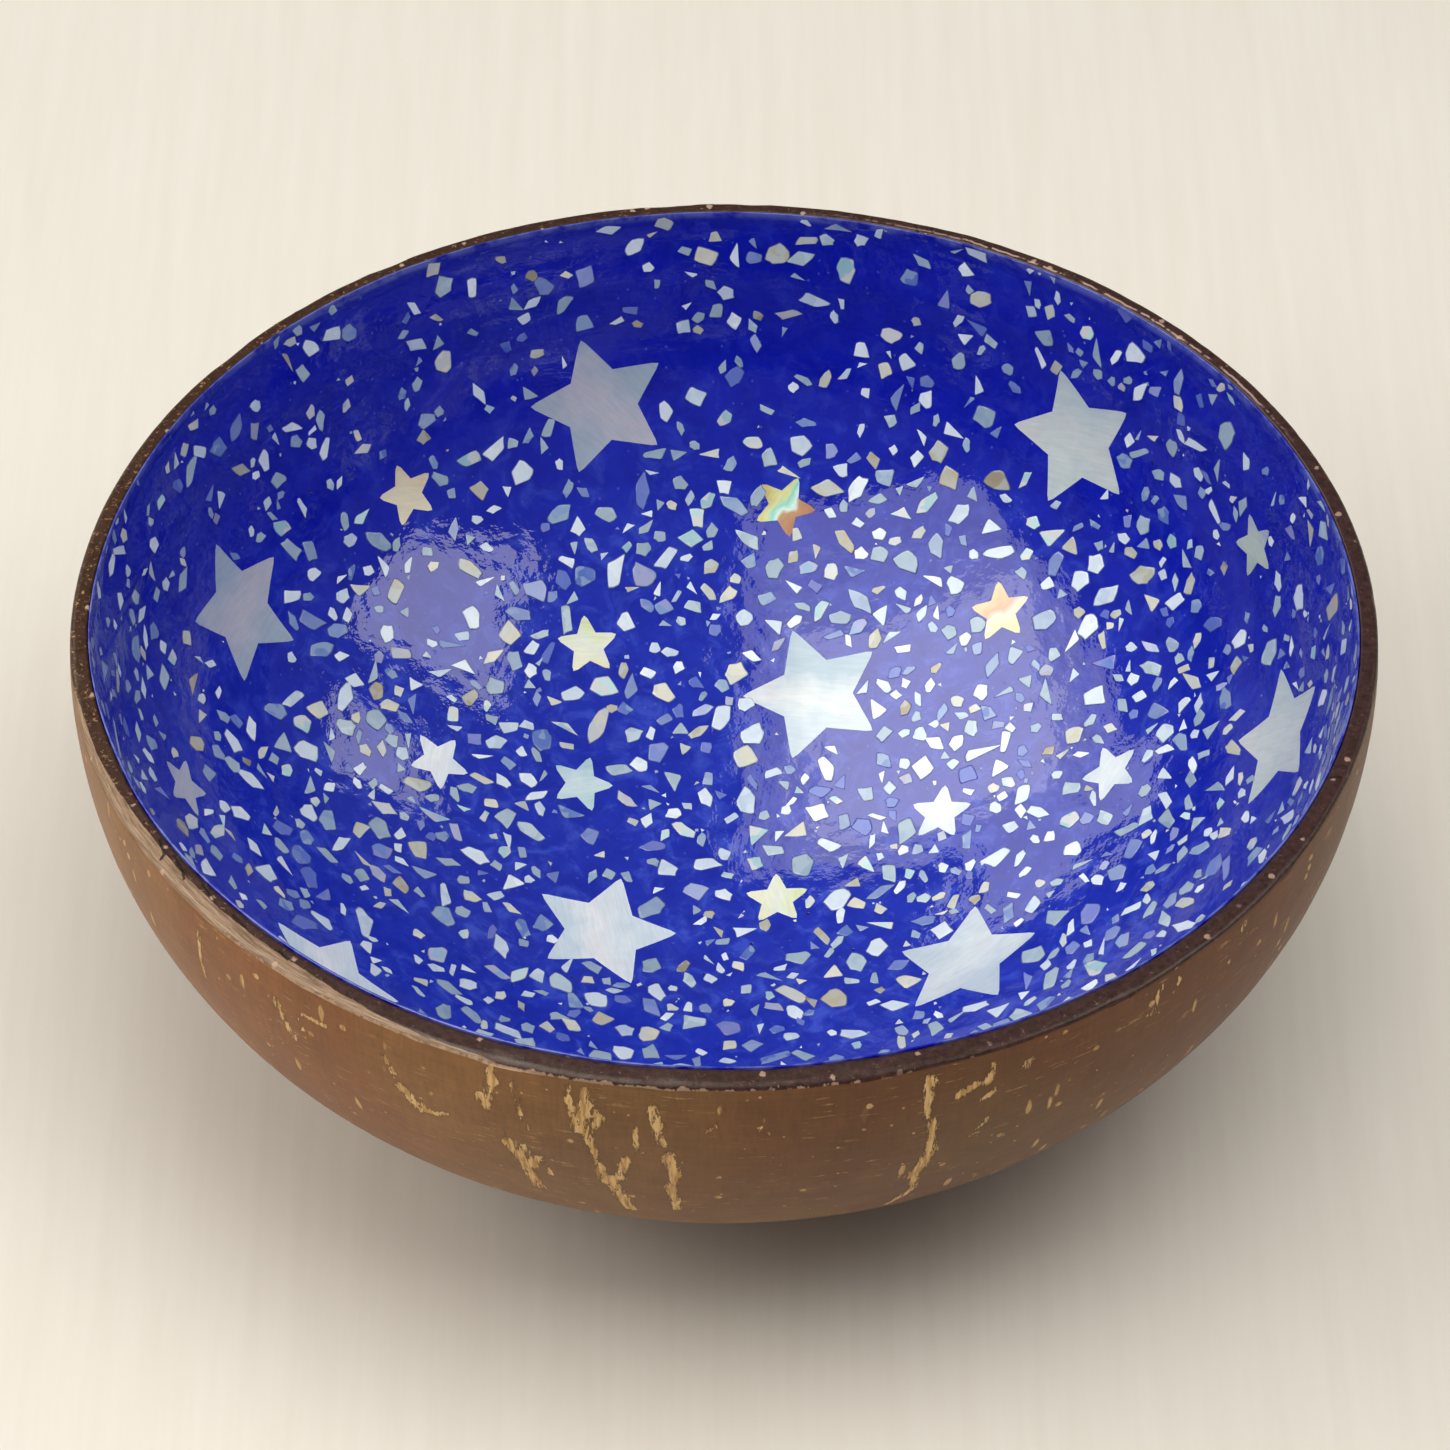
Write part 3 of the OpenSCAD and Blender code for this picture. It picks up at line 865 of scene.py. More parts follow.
def wear_shell(bm, form, rim_low, rim_out):
    """Makes the turned shell uneven as sanded and sawn by hand."""
    for vert in bm.verts:
        point = vert.co.copy()
        direction, out = polar(point)
        inward = form.through(form.outer, form.inner, point)
        moved = form.settle(point, form.shell_thinning(direction) * inward)
        if inward < 0.05 and point.z > 0.3 * MM:
            wave = WALL_WAVE + WALL_WAVE * lumps(point, WALL_WAVE_LENGTH)
            wave += WALL_DENT * lumps(point, WALL_DENT_LENGTH)
            moved -= Vector((point.x, point.y, 0)).normalized() * MM * wave
        if point.z > rim_low:
            moved.z -= MM * SAW_MARK * (1 + lumps(point, SAW_MARK_LENGTH))
            torn = max(0.0, lumps(point, TEAR_LENGTH) - TEAR_RARENESS)
            moved.z -= MM * TEAR * torn * smooth((out - rim_out) / (TEAR_BAND * MM) + 1)
        vert.co = moved


def mark_shell(mesh, places, form, rim_low, rim_in, rim_out):
    """Keeps in the mesh how far across the rim a vertex is, and where fibres, bare wood and painted
    highlights are.

    The places are where the vertices were before the wear.
    """
    mm_a_degree = math.pi * form.shape.width / MM / 360
    unrolled = np.array([(math.degrees(polar(p)[0]) % 360 * mm_a_degree, p.z / MM) for p in places])
    strokes = [(half_width, np.reshape(line, (-1, 2)) * (mm_a_degree, 1))
               for half_width, *line in WALL_FIBRES]
    rows = []
    for place, fibre in zip(places, nearness(unrolled, strokes)):
        direction, out = polar(place)
        across = (out - rim_in) / (rim_out - rim_in)
        outside = out > form.inner.out_at(place.z - form.widest) + MM
        on_top = place.z > rim_low - 0.3 * MM
        bare_from = BARE_START - BARE_MOVE * round_table(RIM_BARE, direction)
        arris = max(0.0, 1 - abs(out - rim_out + ARRIS_IN * MM) / (ARRIS_WIDTH * MM))
        rows.append((across, fibre * outside, round_table(RIM_WARM, direction),
                     smooth((across - bare_from) / BARE_SOFT + 0.5) if across < BARE_START else 0,
                     ARRIS_STRENGTH * arris * round_table(RIM_ARRIS_HIGHLIGHT, direction) * on_top,
                     round_table(RIM_HIGHLIGHT_LINE, direction) * on_top))
    for name, values in zip(("across", "fibre", "warm", "bare", "arris", "line"), zip(*rows)):
        field = mesh.attributes.new(name, "FLOAT", "POINT")
        field.data.foreach_set("value", np.asarray(values, np.float32))


class BOWL_OT_add_shell(bpy.types.Operator):
    """Adds the half coconut: smoothed wall, sanded foot and sawn rim"""
    bl_idname = "bowl.add_shell"
    bl_label = "Coconut shell"
    bl_options = {"REGISTER", "UNDO"}

    def execute(self, context):
        scene = context.scene
        form = Form(scene.bowl_shape)
        bm, rim_in, rim_out = shell_mesh(form, scene.bowl_shell.segments)
        rim_low = form.rim - SAWN_REACH * form.shape.rim_round
        for face in bm.faces:
            middle = face.calc_center_median()
            if middle.z > rim_low and polar(middle)[1] > rim_in - 0.3 * MM:
                face.material_index = 1
        turned = [vert.co.copy() for vert in bm.verts]
        wear_shell(bm, form, rim_low, rim_out)
        finishes = [wall_finish(scene.bowl_shell), rim_finish(scene.bowl_shell)]
        piece = make_piece("coconut_shell", bm, finishes, "shell")
        mark_shell(piece.data, turned, form, rim_low, rim_in, rim_out)
        return {"FINISHED"}


# ---- the lining ----

# Steps of the section: the face's bottom and side, the lip, and the back's side and bottom
LINING_STEPS = (46, 52, 2, 16, 8)
# A vertex this near to the face, and this far below the rim, ripples with it
FACE_NEAR, FACE_BELOW_RIM = 0.02 * MM, 0.05 * MM


class BOWL_OT_add_lining(bpy.types.Operator):
    """Adds the blue lacquer inside the shell, with its rounded edge at the rim"""
    bl_idname = "bowl.add_lining"
    bl_label = "Lacquer lining"
    bl_options = {"REGISTER", "UNDO"}

    def execute(self, context):
        scene = context.scene
        form = Form(scene.bowl_shape)
        face, back, lip_round = form.face, form.back, form.shape.lip_round
        bottom, side, lip, back_side, back_bottom = LINING_STEPS
        bm = bmesh.new()
        vert = bm.verts.new((0, 0, form.widest + face.rise - face.bottom_radius))
        vert = swing(bm, vert, form.bottom_centre(face), face.meet, bottom)
        vert = swing(bm, vert, form.side_centre(face), form.rim_lean(face) - face.meet, side)
        lip_in, lip_out = vert.co.x, form.out_at_rim(back)
        vert = reach(bm, vert, lip_out, form.rim, lip)
        vert = swing(bm, vert, form.side_centre(back), back.meet - form.rim_lean(back), back_side)
        swing(bm, vert, form.bottom_centre(back), -back.meet, back_bottom)
        turn_section(bm, scene.bowl_lacquer.segments)
        round_ring(bm, lip_in, form.rim, lip_round, 4)
        round_ring(bm, lip_out, form.rim, 0.3 * lip_round, 2)

        for vert in bm.verts:
            point = vert.co.copy()
            direction, out = polar(point)
            height = point.z - form.widest
            lean = face.lean_of(out, height)
            face_out, face_height = face.at(lean)
            off_face = math.hypot(face_out - out, face_height - height)
            if off_face < FACE_NEAR and point.z < form.rim - FACE_BELOW_RIM:
                vert.co = form.on_face(direction, lean)
            else:
                outward = form.through(face, back, point)
                thinning = (form.face_thinning(direction) * (1 - outward)
                            + form.shell_thinning(direction) * outward)
                vert.co = form.settle(point, thinning)
        make_piece("lacquer_lining", bm, [lacquer_finish(scene.bowl_lacquer)], "lining")
        return {"FINISHED"}


# ---- the stars ----

# Direction round the bowl, lean up its wall and turn of each star, in degrees
LARGE_STARS = [(103.5, 61.5, 10.5), (50.5, 68, 30), (154, 58.5, 62), (73, 26.5, 33), (4, 61, 70),
               (168, 10, 53), (349, 20, 19.5), (201.5, 35, 16.5), (232, 63, 40), (273, 52, 8),
               (311, 64, 25), (333, 45, 50)]
SMALL_STARS = [(127.5, 56.5, 0.5), (82.5, 43, 51), (50.5, 38.5, 36.5), (112, 31.5, 61),
               (146.5, 29, 59.5), (125.5, 20.5, 22.5), (55, 7.5, 36), (35, 22, 42.5), (19, 35, 8.5),
               (180, 55, 60), (24, 74, 48), (213, 58, 20), (251, 71, 44), (249, 33, 12), (292, 70, 66),
               (303, 38, 30), (342, 68, 5)]
LARGE_KINDS = "rosy grey rosy opal grey white pale white rosy grey white grey".split()
SMALL_KINDS = ("cream rainbow peach lemon white ice lemon pale pale rosy sage "
               "white cream lemon grey rainbow cream").split()
# Each kind of pearl: colour bands in a mm, their twist in degrees and their colours
PEARLS = {
    "grey": (0.05, 15, (0.2, "#c5d1cd"), (0.5, "#d3dad3"), (0.8, "#c3d2cf")),
    "rosy": (0.07, 60, (0.15, "#a6b4c2"), (0.5, "#bdbcc6"), (0.85, "#a2b2c0")),
    "opal": (0.13, 25, (0.15, "#c3d0d8"), (0.4, "#d2d8d8"), (0.6, "#c6d0d4"), (0.85, "#a6bac6")),
    "white": (0.1, 30, (0.2, "#dde9ee"), (0.6, "#eff3f2"), (0.9, "#d6e5ec")),
    "pale": (0.1, 70, (0.15, "#c3d0d8"), (0.5, "#d8e0e2"), (0.85, "#c0ced8")),
    "cream": (0.12, 20, (0.1, "#efe4bd"), (0.5, "#e6ddc0"), (0.9, "#ddc8a4")),
    "rainbow": (0.16, 171, (0.1, "#c9b872"), (0.36, "#d9dc9a"), (0.46, "#8fdcc8"), (0.58, "#d7f0e0"),
                (0.66, "#b88a5e"), (0.95, "#a8694a")),
    "sage": (0.12, 40, (0.15, "#aebdb0"), (0.5, "#c3d0bd"), (0.8, "#b5bfc4")),
    "ice": (0.12, 40, (0.2, "#c3dfdf"), (0.5, "#d3e6e8"), (0.8, "#b3d0d6")),
    "lemon": (0.14, 75, (0.15, "#f1efc4"), (0.5, "#e9eede"), (0.8, "#dfe7b6")),
    "peach": (0.17, 150, (0.2, "#dcc79c"), (0.42, "#dba98f"), (0.58, "#e0d8c6"), (0.8, "#d9d3a2")),
}
STAR_POINTS = 5
STAR_DEPTH, STAR_PROUD = 0.5 * MM, 0.03 * MM
# The worn end of a tip, and the share of its length that is left
LARGE_TIP, SMALL_TIP, TIP_LEFT = 0.5 * MM, 0.8 * MM, 0.45


def star_groups(inlay):
    """Size, places, kinds, radius, waist and worn tip of the large and of the small stars."""
    return (("large", LARGE_STARS, LARGE_KINDS, inlay.large_radius, inlay.large_waist, LARGE_TIP),
            ("small", SMALL_STARS, SMALL_KINDS, inlay.small_radius, inlay.small_waist, SMALL_TIP))


def star_mesh(form, spot, radius, waist_share, tip_round):
    """A star laid on the lacquer's face, as a closed solid with a UV map of its own place in mm."""
    direction, lean, turn = (math.radians(v) for v in spot)
    centre, up, side, _ = form.tangent_frame(direction, lean)
    bm = bmesh.new()
    bmesh.ops.create_circle(bm, cap_ends=True, cap_tris=True, segments=2 * STAR_POINTS, radius=radius)
    middle = min(bm.verts, key=lambda v: v.co.length)
    round_edge = sorted((v for v in bm.verts if v is not middle), key=lambda v: polar(v.co)[0])
    step = TURN / (2 * STAR_POINTS)
    for corner, vert in enumerate(round_edge):
        distance = radius * (waist_share if corner % 2 else 1)
        vert.co = way_of(corner * step) * distance
    bmesh.ops.subdivide_edges(bm, edges=bm.edges[:], cuts=5, use_grid_fill=True)
    for vert in bm.verts:
        out = vert.co.length
        if out > radius - tip_round:
            vert.co *= (radius - tip_round + (out - radius + tip_round) * TIP_LEFT) / out
    uv_layer = bm.loops.layers.uv.new("star")
    for bm_face in bm.faces:
        for loop in bm_face.loops:
            loop[uv_layer].uv = (loop.vert.co.x / MM, loop.vert.co.y / MM)
    made = bmesh.ops.extrude_face_region(bm, geom=bm.faces[:], use_keep_orig=True)
    lower = set(verts_of(made["geom"]))
    spots = {}
    for vert in bm.verts:
        local = Matrix.Rotation(turn, 3, "Z") @ Vector((vert.co.x, vert.co.y, 0))
        spots[vert] = form.drop_on_face(centre + up * local.x + side * local.y)
    for vert in bm.verts:
        vert.co = form.on_face(*spots[vert], -STAR_DEPTH if vert in lower else STAR_PROUD)
    bmesh.ops.recalc_face_normals(bm, faces=bm.faces[:])
    return bm, [form.face_normal(*spots[vert]) * (-1 if vert in lower else 1) for vert in bm.verts]


class BOWL_OT_add_stars(bpy.types.Operator):
    """Adds the large and the small pearl stars"""
    bl_idname = "bowl.add_stars"
    bl_label = "Pearl stars"
    bl_options = {"REGISTER", "UNDO"}

    def execute(self, context):
        scene = context.scene
        form = Form(scene.bowl_shape)
        finishes = {kind: pearl_finish(f"pearl_{kind}", *row) for kind, row in PEARLS.items()}
        for size, spots, kinds, *measures in star_groups(scene.bowl_inlay):
            for number, (spot, kind) in enumerate(zip(spots, kinds), 1):
                bm, normals = star_mesh(form, spot, *measures)
                make_piece(f"{size}_star_{number}", bm, [finishes[kind]],
                           f"star_{size}_{number}", normals)
        return {"FINISHED"}


# ---- the chips ----

Chip = namedtuple("Chip", "direction lean radius tint corners")
Tint = namedtuple("Tint", "large small sunk light dark streak")
# Each tint: its share of the large and of the small chips, the share of it that is sunk, and its colours
TINTS = {
    "white": Tint(0.24, 0.32, 0.08, "#eaf3f6", "#b4c6d8", "#cfdde6"),
    "cream": Tint(0.16, 0.13, 0.15, "#dedccb", "#adae9c", "#bcc8ca"),
    "tan": Tint(0.08, 0.02, 0.12, "#bfb599", "#8b8470", "#aeb6b2"),
    "grey": Tint(0.22, 0.38, 0.4, "#bbced6", "#8299b2", "#9bb0ba"),
    "slate": Tint(0.16, 0.07, 0.3, "#8fa8c8", "#4f6ab6", "#9ab0c0"),
    "pearl": Tint(0.14, 0.08, 0.3, "#c4e2e0", "#92b8c2", "#e2d2cc"),
}
# The CAD's rule for the large chips, repeated here so that each one stays where its solid is
CHIP_MIN, CHIP_MAX, CHIP_PITCH, CHIP_MARGIN, INLAY_GAP = (v * MM for v in (0.75, 1.85, 7, 1.5, 0.05))
CORNER_DRAW, CORNER_SLIDE = 0.35, 0.3
# A small chip and a flake: least and added radius in mm, its power, corners to draw from, stretch
Kind = namedtuple("Kind", "least added power corners stretch")
SMALL_CHIP = Kind(0.78, 1.05, 1.4, (3, 4, 4, 5, 5), 0.62)
FLAKE = Kind(0.2, 0.25, 1, (3, 3, 4), 0.15)
SMALL_MARGIN = 0.35 * MM
# The share of small chips that lie against another one, how near two of them may be, how near
# a star's edge, and how much of its radius a large chip keeps free
CLUMPED, CLOSENESS, STAR_NEARNESS, LARGE_TAKES = 0.3, 0.8, 0.9, 0.85
# Places tried for each chip that is wanted
TRIES = 60
# How far a small chip's corners may lie inside its radius, and the power of its stretch
SMALL_DRAW, STRETCH_POWER = 0.22, 1.3
# Least and added at random: where a side's nick lies, and how far it is pushed in or out
NICK_PLACE, NICK_PUSH = (0.3, 0.4), (0.9, 0.27)
# How much of each side a worn corner takes, with least and added for the small chips
LARGE_WEAR, SMALL_WEAR = 0.13, (0.07, 0.11)
LARGE_STRETCH = 0.18
# How chips grow sparser high up, everywhere and at the back left, and gather in clumps of a size in mm
BACK_LEFT, SPARSE_ROUND, SPARSE_BACK_LEFT = math.radians(118), 0.06, 0.46
CLUMP_SIZE, CLUMP_LEAST, CLUMP_ADDED = 8, 0.38, 1.15
# The lean in degrees from which chips grow sparser and smaller, how far on that ends, and by how much
HIGH_FROM, HIGH_RUN, HIGH_SHRINK = 36, 34, 0.2
CHIP_DEPTH, CHIP_PROUD, CHIP_CROWN = 0.3 * MM, 0.02 * MM, 0.035 * MM
# A chip's own height over the lacquer, as least and added shares of CHIP_PROUD
PROUD_SHARES = (0.4, 1.6)
# How strongly the most sunk chips take on the lacquer's blue
SUNK_MOST = 0.8
# A chip's flat top as a share of its outline, and how far its worn edge leans outwards
CHIP_TOP_SHARE, EDGE_LEAN = 0.82, 0.7


def chance(chip, purpose):
    """A number from 0 to 1 that is the chip's own."""
    x = abs(math.sin(math.radians(127.1 * chip + 311.7 * purpose))) * 4375.85
    return x - math.floor(x)


def tint_of(value, group):
    """The tint that a number from 0 to 1 falls on, by the shares of the large or the small chips."""
    total = 0
    for name, tint in TINTS.items():
        total += getattr(tint, group)
        if value < total:
            break
    return name


def star_frames(form, inlay):
    """Each star's tangent frame, turn, radius and waist."""
    frames = []
    for _, spots, _, radius, waist, _ in star_groups(inlay):
        for spot in spots:
            direction, lean, turn = (math.radians(v) for v in spot)
            frames.append((form.tangent_frame(direction, lean), turn, radius, waist))
    return frames


def large_chips(form, stars):
    """The large chips, each with its corners as (angle, distance)."""
    face = form.face
    shift_most = max(0.0, CHIP_PITCH / 2 - CHIP_MAX - 2 * INLAY_GAP)
    chip_reach = face.run_to(form.rim_lean(face)) - CHIP_MARGIN - CHIP_MAX - shift_most
    chips = []
    for ring in range(int(chip_reach // CHIP_PITCH) + 1):
        ring_out = face.at(face.lean_after(ring * CHIP_PITCH))[0]
        places = max(1, int(TURN * ring_out // CHIP_PITCH))
        for place in range(places):
            number = 100 * ring + place
            shift = shift_most * chance(number, 1)
            way = TURN * chance(number, 2)
            lean = face.lean_after(abs(ring * CHIP_PITCH + shift * math.cos(way)))
            sideways = shift * math.sin(way) / max(CHIP_PITCH, face.at(lean)[0])
            direction = TURN * (place + chance(ring, 3)) / places + sideways
            radius = CHIP_MIN + (CHIP_MAX - CHIP_MIN) * chance(number, 4) ** 2
            turn = TURN * chance(number, 5)
            sides = 4 + int(3 * chance(number, 6))
            centre = form.tangent_frame(direction, lean)[0]
            if any((centre - star[0]).length <= star_radius + radius + 2 * INLAY_GAP
                   for star, _, star_radius, _ in stars):
                continue
            corners = [(turn + TURN * (k + CORNER_SLIDE * (2 * chance(number, 20 + k) - 1)) / sides,
                        radius * (1 - CORNER_DRAW * chance(number, 10 + k))) for k in range(sides)]
            chips.append(Chip(direction, lean, radius, tint_of(chance(number, 7), "large"), corners))
    return chips


def star_edge(angle, radius, waist_share):
    """Distance from a star's middle to its edge, on a line at an angle from a tip."""
    half = math.pi / STAR_POINTS
    angle = abs((angle + half) % (2 * half) - half)
    waist = radius * waist_share
    return radius * waist * math.sin(half) / (radius * math.sin(angle) + waist * math.sin(half - angle))


def off_stars(point, radius, stars):
    """Whether a chip lies clear of every star."""
    for (centre, up, side, _), turn, star_radius, waist in stars:
        gap = point - centre
        if gap.length <= star_radius + radius:
            angle = math.atan2(gap.dot(side), gap.dot(up)) - turn
            if gap.length < star_edge(angle, star_radius, waist) + radius * STAR_NEARNESS:
                return False
    return True


def outline(corners):
    """A chip's corners in their order round it, as (x, y)."""
    return flat_places(sorted((angle % TURN, distance) for angle, distance in corners))


def between(first, second, t):
    """The place a share t of the way from one (x, y) to another."""
    return [p + (q - p) * t for p, q in zip(first, second)]


def pick(draw, least, added):
    """A random number from the least, with up to that much added."""
    return least + added * draw.random()


def ragged(corners, stretch, stretch_way, draw):
    """A chip's corners drawn out one way, with a nick or a swelling in each side."""
    places = flat_places(corners)
    for first, second in zip(places[:], places[1:] + places[:1]):
        t = pick(draw, *NICK_PLACE)
        push = pick(draw, *NICK_PUSH)
        places.append([c * push for c in between(first, second, t)])
    middle = [sum(c) / len(places) for c in zip(*places)]
    turned = []
    for x, y in ((x - middle[0], y - middle[1]) for x, y in places):
        angle, distance = math.atan2(y, x) - stretch_way, math.hypot(x, y)
        x, y = distance * math.cos(angle) * stretch, distance * math.sin(angle) / stretch
        turned.append((stretch_way + math.atan2(y, x), math.hypot(x, y)))
    return turned


def worn(corners, cut=LARGE_WEAR):
    """A chip's outline with every corner cut off."""
    places = outline(corners)
    turned = []
    for first, second in zip(places, places[1:] + places[:1]):
        for t in (cut, 1 - cut):
            x, y = between(first, second, t)
            turned.append((math.atan2(y, x), math.hypot(x, y)))
    return turned


def height_share(lean):
    """0 low in the bowl and 1 high on its wall."""
    return smooth((math.degrees(lean) - HIGH_FROM) / HIGH_RUN)


def thickness_of_scatter(point, direction, lean):
    """How thickly chips lie at a place, from 0 to 1: sparser high up, most of all at the back left."""
    back_left = 0.5 + 0.5 * math.cos(direction - BACK_LEFT)
    clump = 0.5 + 0.5 * lumps(point, CLUMP_SIZE)
    thick = 1 - height_share(lean) * (SPARSE_ROUND + SPARSE_BACK_LEFT * back_left)
    return thick * min(1.0, CLUMP_LEAST + CLUMP_ADDED * clump)


class Taken:
    """The places that chips take up, kept in cells so that neighbours are found quickly."""
    cell = 4 * MM

    def __init__(self):
        self.cells = {}

    def cell_of(self, point):
        return tuple(math.floor(c / self.cell) for c in point)

    def take(self, point, radius):
        self.cells.setdefault(self.cell_of(point), []).append((point, radius))

    def free(self, point, radius):
        """Whether a chip here would overlap no other by more than a little."""
        base = self.cell_of(point)
        near = (tuple(b + s for b, s in zip(base, step)) for step in product((-1, 0, 1), repeat=3))
        return all((point - other).length > CLOSENESS * (radius + size)
                   for key in near for other, size in self.cells.get(key, ()))


def small_chips(form, inlay, large, stars):
    """Small chips and flakes between the large ones, close together or overlapping a little."""
    draw = random.Random(inlay.seed)
    face = form.face
    run_most = face.run_to(form.rim_lean(face)) - SMALL_MARGIN
    out_most = face.at(math.pi / 2)[0]
    taken = Taken()
    for chip in large:
        taken.take(form.tangent_frame(chip.direction, chip.lean)[0], chip.radius * LARGE_TAKES)
    chips = []
    for wanted, kind in ((inlay.small_chips, SMALL_CHIP), (inlay.flakes, FLAKE)):
        made = tries = 0
        while made < wanted and tries < TRIES * wanted:
            tries += 1
            direction = TURN * draw.random()
            lean = face.lean_after(run_most * draw.random())
            keep, size, stretch, tone = (draw.random() for _ in range(4))
            radius = MM * (kind.least + kind.added * size ** kind.power)
            radius *= 1 - HIGH_SHRINK * height_share(lean)
            if chips and draw.random() < CLUMPED:
                near = draw.choice(chips)
                way, gap = TURN * draw.random(), near.radius + radius
                lean = face.lean_after(abs(face.run_to(near.lean) + gap * math.cos(way)))
                direction = near.direction + gap * math.sin(way) / max(gap, face.at(lean)[0])
                if face.run_to(lean) > run_most:
                    continue
            elif keep * out_most > face.at(lean)[0]:
                continue
            point = form.tangent_frame(direction, lean)[0]
            if draw.random() > thickness_of_scatter(point, direction, lean):
                continue
            if not off_stars(point, radius, stars) or not taken.free(point, radius):
                continue
            sides = draw.choice(kind.corners)
            turn = TURN * draw.random()
            corners = [(turn + TURN * (k + CORNER_SLIDE * (2 * draw.random() - 1)) / sides,
                        radius * (1 - SMALL_DRAW * draw.random())) for k in range(sides)]
            stretch = 1 + kind.stretch * stretch ** STRETCH_POWER
            corners = ragged(corners, stretch, TURN * draw.random(), draw)
            if kind is SMALL_CHIP:
                corners = worn(corners, pick(draw, *SMALL_WEAR))
            taken.take(point, radius)
            chips.append(Chip(direction, lean, radius, tint_of(tone, "small"), corners))
            made += 1
    return chips


def chip_mesh(form, chips, sunk_share, draw):
    """All chips of one tint: thin closed prisms with a worn top edge, laid on the lacquer's face."""
    bm = bmesh.new()
    owner = bm.verts.layers.int.new("chip")
    # The edge layer marks each chip's outer ring, where its colour is painted dark as shade
    tone, sunk, edge = (bm.verts.layers.float.new(name) for name in ("tone", "sunk", "edge"))
    frames, heights = [], []
    for index, chip in enumerate(chips):
        spot = form.tangent_frame(chip.direction, chip.lean)
        frames.append((spot, form.face_normal(chip.direction, chip.lean) - spot[3]))
        own_tone = draw.random()
        own_sunk = max(0.0, draw.random() - 1 + sunk_share) / sunk_share * SUNK_MOST
        heights.append(CHIP_PROUD * pick(draw, *PROUD_SHARES))
        made = bmesh.ops.create_circle(bm, cap_ends=True, segments=len(chip.corners), radius=chip.radius)
        ordered = sorted(made["verts"], key=lambda v: polar(v.co)[0] % TURN)
        for vert, place in zip(ordered, outline(chip.corners)):
            vert.co = (*place, -CHIP_DEPTH)
            vert[owner], vert[tone], vert[sunk], vert[edge] = index, own_tone, own_sunk, 1
    made = bmesh.ops.extrude_face_region(bm, geom=bm.faces[:], use_keep_orig=True)
    for vert in verts_of(made["geom"]):
        vert.co.z = 0
    tops = [g for g in made["geom"] if isinstance(g, bmesh.types.BMFace)]
    bmesh.ops.inset_individual(bm, faces=tops, thickness=0)
    for top in tops:
        for vert in top.verts:
            vert.co = Vector((vert.co.x * CHIP_TOP_SHARE, vert.co.y * CHIP_TOP_SHARE, CHIP_CROWN))
            vert[edge] = 0
    bmesh.ops.recalc_face_normals(bm, faces=bm.faces[:])

    normals = []
    for vert in bm.verts:
        (centre, up, side, _), tilt = frames[vert[owner]]
        height = vert.co.z
        spread = up * vert.co.x + side * vert.co.y
        direction, lean = form.drop_on_face(centre + spread)
        normal = form.tangent_frame(direction, lean)[3] + tilt
        if height < 0:
            normal = spread.normalized() - normal
        elif height < CHIP_CROWN / 2:
            normal = normal + spread.normalized() * EDGE_LEAN
        normals.append(normal.normalized())
        vert.co = form.on_face(direction, lean, height + heights[vert[owner]])
    return bm, normals


class BOWL_OT_add_chips(bpy.types.Operator):
    """Adds the broken shell chips, one piece for each tint"""
    bl_idname = "bowl.add_chips"
    bl_label = "Shell chips"
    bl_options = {"REGISTER", "UNDO"}

    def execute(self, context):
        scene = context.scene
        form = Form(scene.bowl_shape)
        inlay = scene.bowl_inlay
        stars = star_frames(form, inlay)
        large = large_chips(form, stars)
        draw = random.Random(inlay.seed + 1)
        chips = []
        for chip in large:
            stretch = pick(draw, 1, LARGE_STRETCH)
            corners = worn(ragged(chip.corners, stretch, TURN * draw.random(), draw))
            chips.append(chip._replace(corners=corners))
        chips += small_chips(form, inlay, large, stars)
        for name, tint in TINTS.items():
            finish = chip_finish(f"chip_{name}", tint.light, tint.dark, tint.streak)
            bm, normals = chip_mesh(form, [c for c in chips if c.tint == name], tint.sunk, draw)
            make_piece(f"shell_chips_{name}", bm, [finish], f"chips_{name}", normals)
        return {"FINISHED"}


# ---- the stage ----

# Ways from the bowl to the lamps
LEFT, LOW_LEFT, OVERHEAD = (-0.47, 0, 0.88), (-0.78, -0.14, 0.61), (0.2, -0.22, 0.96)
RIGHT, RIGHT_FILL, RIGHT_BACK = (0.66, -0.12, 0.74), (0.66, -0.1, 0.74), (0.7, 0.36, 0.61)
# Each soft box: what it does, the way to it, its size and its shift across the Y axis and with it in
# metres, and its brightness. It only lights the matt colours or only shows as a highlight.
LAMPS = {
    "key_left": ("light", LEFT, (0.94, 1.3), (0, 0), 0.28),
    "key_low": ("light", LOW_LEFT, (0.45, 0.6), (0, 0), 1.45),
    "overhead": ("light", OVERHEAD, (0.8, 0.7), (0, 0), 1.38),
    "fill_right": ("light", RIGHT_FILL, (0.5, 0.5), (0, 0), 0.06),
    "soft_box": ("highlight", LEFT, (1.0, 1.36), (0, -0.08), 0.82),
    "soft_box_low": ("highlight", LEFT, (0.6, 0.56), (-0.38, 0.88), 0.95),
    "soft_box_middle": ("highlight", LEFT, (0.84, 1.0), (0, 0.08), 0.24),
    "soft_box_core": ("highlight", LEFT, (0.68, 0.7), (0, 0.12), 1.05),
    "window_right": ("highlight", RIGHT, (0.5, 0.46), (0.03, 0), 1.4),
    "window_right_back": ("highlight", RIGHT_BACK, (0.24, 0.28), (-0.03, 0), 1.15),
}
LAMP_TINTS = {"light": (1.0, 0.98, 0.94), "highlight": (1.0, 0.96, 0.81)}
# Each box stands this much farther off than the last, so that highlights of boxes in line add up
LAMP_STEP = 0.01
# The table's radius, and the reach, top and rounding of the backdrop round it, in metres
TABLE_OUT, BACKDROP_OUT, BACKDROP_TOP, BACKDROP_ROUND = 2.2, 2.7, 0.75, 0.5
